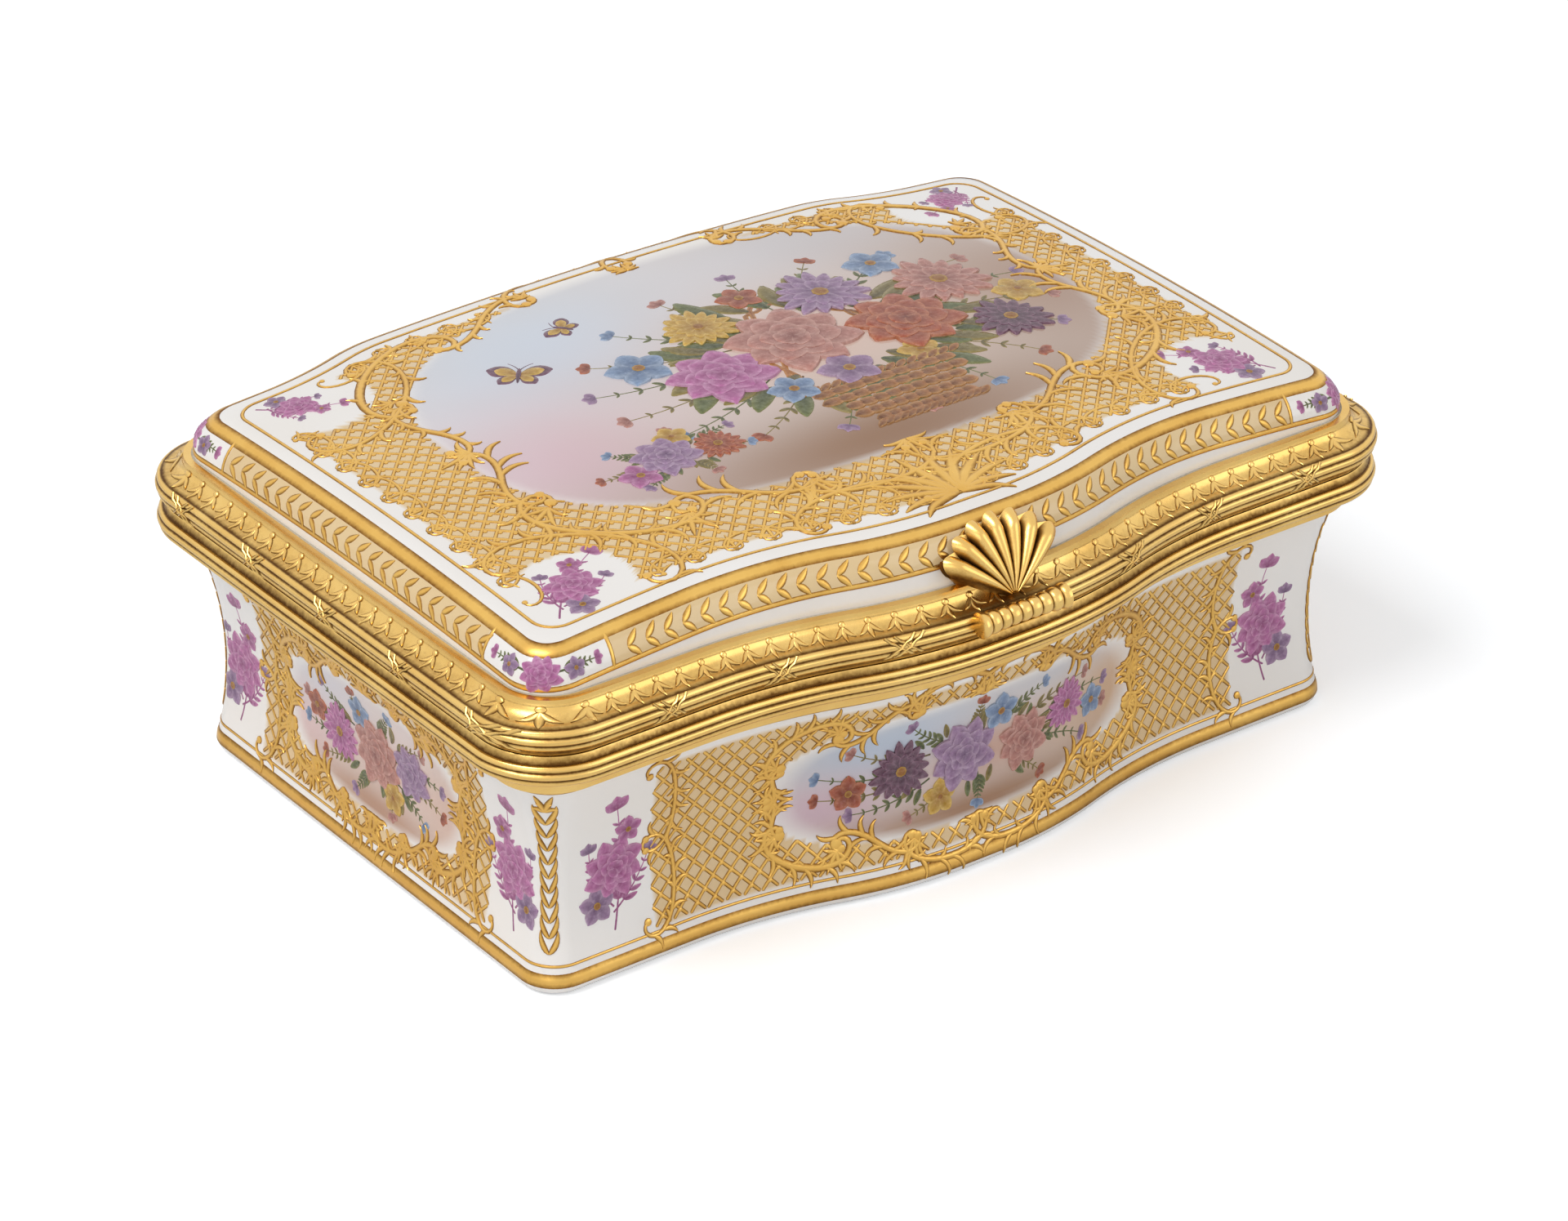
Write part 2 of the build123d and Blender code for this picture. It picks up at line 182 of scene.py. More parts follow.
@dataclass
class MeshDraft:
    """Vertices, faces and per-vertex values of one piece, gathered from closed surfaces."""

    points: list[Array] = field(default_factory=list)
    quads: list[NDArray[np.int64]] = field(default_factory=list)
    triangles: list[NDArray[np.int64]] = field(default_factory=list)
    values: dict[str, list[Array]] = field(default_factory=dict)
    count: int = 0

    def add(self, grid: Array, poles: Optional[Array] = None, wrap_rows: bool = False,
            **values: Array) -> None:
        """Adds a closed surface: a grid whose columns close on themselves.

        The rows end in two poles, or close on themselves too. The faces are turned so that the
        enclosed volume, the sum of each face's triple product, is positive.

        Args:
            grid: Points, as rows by columns by three.
            poles: The first and last point, or None where the rows close on themselves.
            wrap_rows: Whether the last row joins the first.
            values: Named arrays of rows by columns, or rows by columns by three for a colour.
        """
        rows, columns, _ = grid.shape
        index = np.arange(rows * columns).reshape(rows, columns)
        following = np.roll(index, -1, axis=1)
        last = rows if wrap_rows else rows - 1
        below = np.roll(index, -1, axis=0)[:last]
        below_next = np.roll(following, -1, axis=0)[:last]
        quads = np.stack([index[:last], following[:last], below_next, below], -1).reshape(-1, 4)
        flat = grid.reshape(-1, 3)
        triangles = np.zeros((0, 3), int)
        if poles is not None:
            first_pole = np.full(columns, rows * columns)
            last_pole = first_pole + 1
            triangles = np.concatenate([
                np.stack([first_pole, following[0], index[0]], -1),
                np.stack([last_pole, index[-1], following[-1]], -1),
            ])
            flat = np.concatenate([flat, poles])
        centred = flat - flat.mean(0)
        corner = centred[quads[:(rows - 1) * columns]]
        spans = np.cross(corner[:, 1] - corner[:, 0], corner[:, 2] - corner[:, 0])
        spans += np.cross(corner[:, 2] - corner[:, 0], corner[:, 3] - corner[:, 0])
        if np.einsum("ij,ij->", corner.mean(1), spans) < 0:
            quads = quads[:, ::-1]
            triangles = triangles[:, ::-1]
        self.points.append(flat)
        self.quads.append(quads + self.count)
        self.triangles.append(triangles + self.count)
        for name, value in values.items():
            width = value.shape[2:] or (1,)
            spread = value.reshape(rows * columns, *width)
            if poles is not None:
                ends = [value[0].mean(0).reshape(1, *width), value[-1].mean(0).reshape(1, *width)]
                spread = np.concatenate([spread, *ends])
            self.values.setdefault(name, []).append(spread)
        self.count += len(flat)

    def build(self, name: str, body: Body, finish: Finish, skin: Optional[Skin] = None,
              crease: float = 40.0) -> bpy.types.Object:
        """Makes the piece.

        Args:
            name: The piece's name.
            body: The CAD body that it rides on.
            finish: Its material and slot.
            skin: Maps the points from a skin's own coordinates to the frame, or None.
            crease: Edges sharper than this many degrees stay sharp.

        Returns:
            The new object, at the origin, with its place in its mesh.
        """
        points = np.concatenate(self.points)
        if skin is not None:
            points = skin(points)
        faces = np.concatenate(self.quads).tolist() + np.concatenate(self.triangles).tolist()
        mesh = bpy.data.meshes.new(name)
        mesh.from_pydata((points * MM).tolist(), [], faces)
        for key, chunks in self.values.items():
            value = np.concatenate(chunks)
            kind, held = "FLOAT", "value"
            if value.shape[1] == 3:
                kind, held = "FLOAT_COLOR", "color"
                value = np.concatenate([value, np.ones((len(value), 1))], 1)
            attribute = mesh.attributes.new(key, kind, "POINT")
            attribute.data.foreach_set(held, value.astype(np.float32).ravel())
        mesh.polygons.foreach_set("use_smooth", np.ones(len(faces), bool))
        mesh.set_sharp_from_angle(angle=math.radians(crease))
        mesh.materials.append(finish.material)
        piece = bpy.data.objects.new(name, mesh)
        bpy.context.scene.collection.objects.link(piece)
        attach(piece, body.value)
        log.info("%s: %d faces on %s", name, len(faces), body.value)
        return piece


@dataclass(frozen=True)
class Ring:
    """One outline of the plan, counter-clockwise from the middle of the front."""

    points: Array
    outward: Array


def straight(start: Point, end: Point, normal: Point, shares: Array) -> tuple[Array, Array]:
    """Points at shares of a line's length, and the outward direction at each."""
    points = np.array(start) + shares[:, None] * np.subtract(end, start)
    return points, np.tile(np.array(normal), (len(shares), 1))


def turning(centre: Point, radius: float, start: float, stop: float, count: int,
            way: int = 1) -> tuple[Array, Array]:
    """Points on an arc, without its end.

    Args:
        centre: Centre of the arc.
        radius: Its radius.
        start: Angle of its first point, in degrees.
        stop: Angle of its end.
        count: Number of points.
        way: 1 where the outward side faces away from the centre, -1 where it faces it.

    Returns:
        The points, and the outward direction at each.
    """
    angles = np.radians(np.linspace(start, stop, count, endpoint=False))
    ray = np.stack([np.cos(angles), np.sin(angles)], 1)
    return np.array(centre) + radius * ray, way * ray


@dataclass(frozen=True)
class Plan:
    """Plan of the box, with the same corners and bows as its solids."""

    length: float
    front_line: float
    back_line: float
    corner_radius: float = 6.8
    smallest_corner: float = 2.0
    shortest_straight: float = 0.05
    front_bow: float = 3.5
    front_straight: float = 10.2
    front_crest: float = 1.5
    back_bow: float = 1.8
    back_straight: float = 3.2
    back_flat: float = 20.5
    hinge_half: float = 19.0
    hinge_step: float = 0.01
    reference_inset: float = 4.0

    @staticmethod
    def from_frame() -> "Plan":
        """Reads the length and the two bowed sides from the mount of the box."""
        low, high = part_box("base_mount")
        return Plan(length=(high.x - low.x) / MM, front_line=-low.y / MM, back_line=high.y / MM)

    @property
    def half_width(self) -> float:
        """Distance from the middle to the straight part of a long side."""
        return self.front_line - self.front_bow

    @staticmethod
    def bow(run: float, rise: float) -> Point:
        """Radius, (run squared plus rise squared) / 4 rise, and turn in degrees of a bow's two arcs."""
        radius = (run**2 + rise**2) / (4 * rise)
        return radius, math.degrees(math.asin(run / 2 / radius))

    def ring(self, inset: float, fine: int = 1) -> Ring:
        """Outline at an inset.

        Each long side is a straight, a hollow arc and a swelling arc of the same radius, whose
        centres stay put for every inset, and a flat crest. The right half runs from the middle of
        the front to the middle of the back, with the points of each stretch counted, and is mirrored.

        Args:
            inset: Distance inwards from the widest line.
            fine: Multiplies the number of points.

        Returns:
            The outline's points and outward directions, the same number for every inset.
        """
        side_x = self.length / 2 - inset
        side_y = self.half_width - inset
        front_y = inset - self.front_line
        back_y = self.back_line - inset
        bow_end = self.length / 2 - self.corner_radius
        front_x = bow_end - self.front_straight
        back_x = bow_end - self.back_straight
        radius = max(self.corner_radius - inset, self.smallest_corner)
        radius = min(radius, side_x - back_x - self.shortest_straight)
        corner_x = side_x - radius
        corner_y = side_y - radius
        front, turn = self.bow(front_x - self.front_crest, self.front_bow)
        back, tilt = self.bow(back_x - self.back_flat, self.back_bow)
        ledge = self.hinge_half + self.hinge_step
        pocket = self.hinge_half - self.hinge_step
        pieces = [
            straight((0, front_y), (self.front_crest, front_y), (0, -1), evenly(3 * fine)),
            turning((self.front_crest, front - self.front_line), front - inset, -90, turn - 90, 22 * fine),
            turning((front_x, -self.half_width - front), front + inset, 90 + turn, 90, 22 * fine, -1),
            straight((front_x, -side_y), (corner_x, -side_y), (0, -1), evenly(12 * fine)),
            turning((corner_x, -corner_y), radius, -90, 0, 18 * fine),
            straight((side_x, -corner_y), (side_x, corner_y), (1, 0), evenly(36 * fine)),
            turning((corner_x, corner_y), radius, 0, 90, 18 * fine),
            straight((corner_x, side_y), (back_x, side_y), (0, 1), evenly(6 * fine)),
            turning((back_x, self.half_width + back), back + inset, -90, -90 - tilt, 12 * fine, -1),
            turning((self.back_flat, self.back_line - back), back - inset, 90 - tilt, 90, 12 * fine),
            straight((self.back_flat, back_y), (ledge, back_y), (0, 1), evenly(3 * fine)),
            straight((ledge, back_y), (pocket, back_y), (0, 1), np.zeros(1)),
            straight((pocket, back_y), (0, back_y), (0, 1), np.linspace(0, 1, 30 * fine + 1)),
        ]
        points = np.concatenate([piece[0] for piece in pieces])
        outward = np.concatenate([piece[1] for piece in pieces])
        flip = np.array([-1.0, 1.0])
        points = np.concatenate([points, points[-2:0:-1] * flip])
        outward = np.concatenate([outward, outward[-2:0:-1] * flip])
        return Ring(points, outward)

    @cached_property
    def rail(self) -> Ring:
        """The widest line, finely divided."""
        return self.ring(0, fine=6)

    @cached_property
    def walk(self) -> Array:
        """Walks round the box at the reference inset.

        Returns:
            The distance walked to each point of the rail, and once round at the end.
        """
        track = self.rail.points - self.reference_inset * self.rail.outward
        step = np.linalg.norm(np.roll(track, -1, axis=0) - track, axis=1)
        return np.concatenate([[0], np.cumsum(step)])

    @property
    def whole(self) -> float:
        """Distance walked once round the box."""
        return float(self.walk[-1])

    def walked(self, fine: int) -> Array:
        """Distance walked at the reference inset for each point of a ring of that fineness."""
        track = self.ring(self.reference_inset, fine).points
        return np.concatenate([[0], np.cumsum(np.linalg.norm(np.diff(track, axis=0), axis=1))])

    def locate(self, walked: Array) -> tuple[Array, Array]:
        """Finds places on the rail.

        Args:
            walked: Distances walked from the front's middle.

        Returns:
            The places, and the outward direction at each.
        """
        loop = np.concatenate([self.rail.points, self.rail.outward], 1)
        loop = np.concatenate([loop, loop[:1]])
        place = np.mod(walked, self.walk[-1])
        found = np.stack([np.interp(place, self.walk, loop[:, k]) for k in range(4)], -1)
        outward = found[..., 2:] / np.linalg.norm(found[..., 2:], axis=-1, keepdims=True)
        return found[..., :2], outward

    def middle(self, side: Side) -> float:
        """Finds the middle of a side.

        Args:
            side: Which side.

        Returns:
            The distance walked to it.
        """
        if side in (Side.FRONT, Side.BACK):
            return self.whole / 2 * (side is Side.BACK)
        right = np.where(self.rail.points[:, 0] > 0, np.abs(self.rail.points[:, 1]), np.inf)
        walked = float(self.walk[int(np.argmin(right))])
        return walked if side is Side.RIGHT else self.whole - walked

    @cached_property
    def corners(self) -> list[float]:
        """Distances walked to the middles of the four rounded corners."""
        ways = np.array([[1, -1], [1, 1], [-1, 1], [-1, -1]])
        return [float(self.walk[int(np.argmax(self.rail.outward @ way))]) for way in ways]

    def depth(self, places: Array) -> Array:
        """Shortest distance from points inside the plan to its widest line.

        Args:
            places: Points, as n by two.

        Returns:
            For each point, the least distance to any point of the finely divided rail.
        """
        found = np.full(len(places), np.inf)
        for chunk in np.array_split(self.rail.points, 24):
            gap = places[:, None, :] - chunk[None, :, :]
            found = np.minimum(found, np.einsum("ijk,ijk->ij", gap, gap).min(1))
        return np.sqrt(found)


def circle_through(low: Point, waist: Point, high: Point) -> Spot:
    """Circle through three points of a section.

    Args:
        low: Inset and height of the first point.
        waist: The same of the middle one.
        high: The same of the last one.

    Returns:
        Inset and height of the circle's centre, and its radius.
    """
    matrix = np.array([[2 * (waist[0] - low[0]), 2 * (waist[1] - low[1])],
                       [2 * (high[0] - low[0]), 2 * (high[1] - low[1])]])
    squares = [point[0] ** 2 + point[1] ** 2 for point in (low, waist, high)]
    centre = np.linalg.solve(matrix, np.array([squares[1] - squares[0], squares[2] - squares[0]]))
    return float(centre[0]), float(centre[1]), float(math.dist(centre, low))


@dataclass(frozen=True)
class WallSkin:
    """Outer wall of the box: a hollow curve between the foot and the mount."""

    plan: Plan
    foot_inset: float = 3.7
    foot_round: float = 1.0
    waist_inset: float = 4.8
    waist_height: float = 10.0
    seat_inset: float = 3.1
    lip_end: float = 18.45
    slope_step: float = 0.02

    @cached_property
    def hollow(self) -> Spot:
        """The circle that the hollow wall follows."""
        return circle_through((self.foot_inset, self.foot_round), (self.waist_inset, self.waist_height),
                              (self.seat_inset, self.lip_end))

    def inset(self, height: Array) -> Array:
        """Inset of the wall: the foot's quarter round, the hollow circle, then the seat.

        Args:
            height: Heights over the underside.

        Returns:
            The inset at each height.
        """
        centre, middle, radius = self.hollow
        way = 1 if self.waist_inset > centre else -1
        curve = centre + way * np.sqrt(np.maximum(radius**2 - (height - middle) ** 2, 0))
        drop = np.clip(self.foot_round - height, 0, self.foot_round)
        toe = self.foot_inset + self.foot_round - np.sqrt(self.foot_round**2 - drop**2)
        low = np.where(height < self.foot_round, toe, curve)
        return np.where(height > self.lip_end, self.seat_inset, low)

    def place(self, points: Array) -> Array:
        """Puts points on the wall. The lift goes along its normal, which leans by its slope.

        Args:
            points: Rows of distance walked, height and lift off the wall.

        Returns:
            The points in the frame.
        """
        walked, height, lift = points.T
        rail, outward = self.plan.locate(walked)
        step = self.slope_step
        slope = (self.inset(height + step) - self.inset(height - step)) / (2 * step)
        length = np.sqrt(1 + slope**2)
        reach = self.inset(height) - lift / length
        return np.column_stack([rail - outward * reach[:, None], height + lift * slope / length])


@dataclass(frozen=True)
class LidSkin:
    """Outer face of the lid: an upright wall, a rounded shoulder and a shallow spherical dome."""

    plan: Plan
    crown: float
    seat_inset: float = 3.1
    crown_radius: float = 420.0
    shoulder: float = 2.9
    thickness: float = 2.4
    level_half: complex = 34.0 + 19.5j
    corner_reserve: float = 5.5

    @property
    def arc(self) -> float:
        """Length of the shoulder's quarter round."""
        return self.shoulder * math.pi / 2

    def dome(self, flat: Array) -> Array:
        """Height of the sphere over points of the plan."""
        square = np.einsum("...k,...k->...", flat, flat)
        return self.crown - self.crown_radius + np.sqrt(self.crown_radius**2 - square)

    def drop(self, depth: Array) -> Array:
        """How far the quarter round lies below the dome, at a distance in from the lid's wall."""
        short = np.clip(self.shoulder - depth, 0, self.shoulder)
        return self.shoulder - np.sqrt(self.shoulder**2 - short**2)

    def reserved(self, walked: Array) -> Mask:
        """Whether places round the shoulder lie in a corner, where its porcelain is left white.

        Args:
            walked: Distances walked to the places.

        Returns:
            The answers.
        """
        half = self.plan.whole / 2
        gaps = [np.abs((walked - corner + half) % (2 * half) - half) for corner in self.plan.corners]
        return np.min(gaps, axis=0) < self.corner_reserve

    def place(self, points: Array) -> Array:
        """Puts points on the top. Only beyond the level half sizes can one lie on the shoulder.

        Args:
            points: Rows of x, y and lift off the top.

        Returns:
            The points in the frame.
        """
        flat, lift = points[:, :2], points[:, 2]
        depth = np.full(len(points), np.inf)
        near = (np.abs(flat[:, 0]) > self.level_half.real) | (np.abs(flat[:, 1]) > self.level_half.imag)
        if near.any():
            depth[near] = self.plan.depth(flat[near]) - self.seat_inset
        return np.column_stack([flat, self.dome(flat) - self.drop(depth) + lift])

    def edge(self, points: Array) -> Array:
        """Puts points on the wall and the shoulder.

        The way up is 0 where the wall ends and the quarter round begins, less on the wall, and
        goes on inwards over the dome.

        Args:
            points: Rows of distance walked, way up over the edge, and lift.

        Returns:
            The points in the frame.
        """
        walked, climb, lift = points.T
        rail, outward = self.plan.locate(walked)
        angle = np.clip(climb, 0, self.arc) / self.shoulder
        depth = self.shoulder * (1 - np.cos(angle)) + np.maximum(climb - self.arc, 0)
        reach = self.seat_inset + depth - lift * np.cos(angle)
        flat = rail - outward * reach[:, None]
        rise = self.shoulder * np.sin(angle) + np.minimum(climb, 0) + lift * np.sin(angle)
        return np.column_stack([flat, self.dome(flat) - self.shoulder + rise])

    def ceiling(self, points: Array) -> Array:
        """Puts (x, -y, lift downwards) on the underside of the dome, seen from below."""
        flat = points[:, :2] * np.array([1.0, -1.0])
        return np.column_stack([flat, self.dome(flat) - self.thickness - points[:, 2]])


def stacked(plan: Plan, profile: list[Point], fine: int = 2) -> Array:
    """Rings of the outline at the insets and heights of a profile, a row of points for each."""
    rings = np.array([plan.ring(inset, fine).points for inset, _ in profile])
    return np.dstack([rings, [[height] * rings.shape[1] for _, height in profile]])


def shrunk(ring: Array, shares: Array) -> Array:
    """Copies of one ring drawn in towards the middle, of which a flat or domed face is made."""
    flat = np.stack([shares, shares, np.ones(len(shares))], 1)
    return ring[None, :, :] * flat[:, None, :]


@dataclass(frozen=True)
class Section:
    """Cross-section of a stroke: places across it, rises and recesses, the share of painted shade and dirt in
    gold. A negative rise is its foot.
    """

    across: tuple[float, ...]
    rise: tuple[float, ...]
    recess: tuple[float, ...]


# The recesses give a gilt stroke painted shade and dirt on its flanks and keep its crown bright.
FINE = Section((-1, -0.72, 0, 0.72, 1, 0), (-1, 0.5, 1, 0.5, -1, -1), (1, 0.8, 0, 0.8, 1, 1))
BROAD = Section((-1, -0.92, -0.5, 0, 0.5, 0.92, 1, 0), (-1, 0.75, 0.95, 1, 0.95, 0.75, -1, -1),
                (1, 0.6, 0.2, 0, 0.2, 0.6, 1, 1))


@dataclass(frozen=True)
class Pigment:
    """One enamel colour as it is brushed: at the root, at the tip and along the rim of a stroke."""

    root: Colour
    tip: Colour
    rim: Colour

    def shade(self, along: Array, across: Array) -> Array:
        """Colour over a stroke: root to tip, drawn to the rim by the square across, with streaks.

        Args:
            along: Shares from the root to the tip.
            across: Places from -1 to 1.

        Returns:
            Colours, as rows by columns by three.
        """
        shape = (len(along), len(across))
        share = np.broadcast_to(along[:, None], shape)
        colour = blend_colours(np.array(self.root), np.array(self.tip), share**0.8)
        colour = blend_colours(colour, np.array(self.rim), 0.7 * np.broadcast_to(across**2, shape))
        streak = 1 - 0.14 * np.cos(4 * np.pi * across)[None, :] * np.sin(np.pi * share)
        return colour * streak[..., None]


@dataclass
class Brush:
    """Raised strokes on one skin, repeated in mirrored copies, each stroke a closed body.

    Paths are complex numbers, in millimetres along and up the skin, measured from the centre.
    """

    skin: Skin
    centre: complex = 0j
    copies: Copies = Copies.ONE
    sink: float = 0.03
    crease: float = 40.0
    draft: MeshDraft = field(default_factory=MeshDraft)

    def at(self, centre: complex, copies: Copies = Copies.ONE) -> "Brush":
        """The same brush and draft at another centre, with its own mirrored copies."""
        return replace(self, centre=centre, copies=copies)

    def make(self, name: str, body: Body, finish: Finish) -> None:
        """Makes one piece of all strokes so far."""
        self.draft.build(name, body, finish, self.skin, self.crease)

    def _mirrored(self, path: Track) -> list[Track]:
        """The copies of a path or a place."""
        return [self.centre + x * path.real + 1j * y * path.imag for x, y in self.copies.value]

    def stroke(self, path: Track, width: Array, height: float, section: Section = FINE,
               pigment: Optional[Pigment] = None, level: float = 0.0) -> None:
        """Carries a section along a path, and closes both ends in points.

        Args:
            path: Points of the middle line.
            width: Full width at each point.
            height: Rise of the crown over the level.
            section: The cross-section.
            pigment: Its colour, or None for gilding.
            level: Height of its edges over the skin.
        """
        across = np.array(section.across)
        rise = np.array(section.rise)
        lift = np.where(rise < 0, -self.sink, level + rise * height)
        shape = (len(path), len(across))
        # Gilt strokes carry the section's recesses: painted shade and dirt on their flanks.
        values = {"recess": np.broadcast_to(np.array(section.recess), shape)}
        if pigment is not None:
            values = {"paint": pigment.shade(np.linspace(0, 1, len(path)), across)}
        for line in self._mirrored(path):
            step = np.gradient(line)
            ahead = step / np.abs(step)
            place = line[:, None] + 1j * ahead[:, None] * across * width[:, None] / 2
            grid = np.stack([place.real, place.imag, np.broadcast_to(lift, shape)], -1)
            ends = [line[0] - ahead[0] * width[0] / 2, line[-1] + ahead[-1] * width[-1] / 2]
            poles = np.array([[end.real, end.imag, -self.sink] for end in ends])
            self.draft.add(grid, poles, **values)

    def line(self, path: Track, width: float, height: float) -> None:
        """A stroke of even width."""
        self.stroke(path, np.full(len(path), width), height)

    def loop(self, path: Track, width: float, height: float, ahead: Union[Array, complex] = 1) -> None:
        """A closed line right round the box.

        Args:
            path: Its points, the last one short of the first.
            width: Its width.
            height: Its rise.
            ahead: Its direction at each point, or 1 where it runs level.
        """
        across = np.array(FINE.across)
        lift = np.where(np.array(FINE.rise) < 0, -self.sink, np.array(FINE.rise) * height)
        shape = (len(path), len(across))
        place = path[:, None] + 1j * (ahead * np.ones(len(path)))[:, None] * across * width / 2
        grid = np.stack([place.real, place.imag, np.broadcast_to(lift, shape)], -1)
        # The loop's flanks get painted shade and dirt through its recesses.
        self.draft.add(grid, wrap_rows=True, recess=np.broadcast_to(np.array(FINE.recess), shape))

    def dot(self, place: complex, radius: float, height: float, pigment: Optional[Pigment] = None,
            level: float = 0.0) -> None:
        """A small dome, of three rings of eight points.

        Args:
            place: Its middle.
            radius: Its radius.
            height: Its rise over the level.
            pigment: Its colour, or None for gilding.
            level: Height of its edge over the skin.
        """
        turns = np.linspace(0, 2 * np.pi, 9)[:-1]
        shape = (3, len(turns))
        shares = np.array([1, 0.85, 0.5])
        lifts = np.array([-self.sink, level + 0.65 * height, level + 0.95 * height])
        # A gilt dot is darkened towards its rim with painted shade and dirt.
        values = {"recess": np.broadcast_to(np.array([[1.0], [0.4], [0.0]]), shape)}
        if pigment is not None:
            values = {"paint": pigment.shade(np.array([1, 0.6, 0]), np.zeros(len(turns)))}
        for middle in self._mirrored(complex(place)):
            ring = middle + radius * shares[:, None] * np.exp(1j * turns)
            grid = np.stack([ring.real, ring.imag, np.broadcast_to(lifts[:, None], shape)], -1)
            poles = np.array([[middle.real, middle.imag, lift] for lift in (-self.sink, level + height)])
            self.draft.add(grid, poles, **values)


def wander(start: complex, heading: float, length: float, bends: Array) -> Track:
    """Path of a length from a start, whose heading turns by the running sum of the bends."""
    steps = length / len(bends) * np.exp(1j * (heading + np.cumsum(bends)))
    return start + np.concatenate([[0], np.cumsum(steps)])


def scroll_path(start: complex, end: complex, curl: Curl, bow: float, coil: float,
                count: int = 40) -> Track:
    """Path from one volute's eye to the other's.

    The turn per length is bow + 4 coil |t| cubed for t from -1 to 1, so that each half coils up by
    coil radians, and a C bulges to the right of the way from start to end. In an S it changes sign.

    Args:
        start: First eye.
        end: Last eye.
        curl: C or S.
        bow: Half of the turn of the middle.
        coil: Turn of each volute.
        count: Number of points.

    Returns:
        The path, scaled and turned between the eyes.
    """
    t = np.sin(np.linspace(-np.pi / 2, np.pi / 2, count))
    sense = np.sign(t) if curl is Curl.S else np.ones(count)
    rate = sense * (bow + 4 * coil * np.abs(t) ** 3)
    span = np.diff(t)
    heading = np.concatenate([[0], np.cumsum(span * (rate[1:] + rate[:-1]) / 2)])
    ray = np.exp(1j * heading)
    track = np.concatenate([[0], np.cumsum(span * (ray[1:] + ray[:-1]) / 2)])
    return start + track / track[-1] * (end - start)


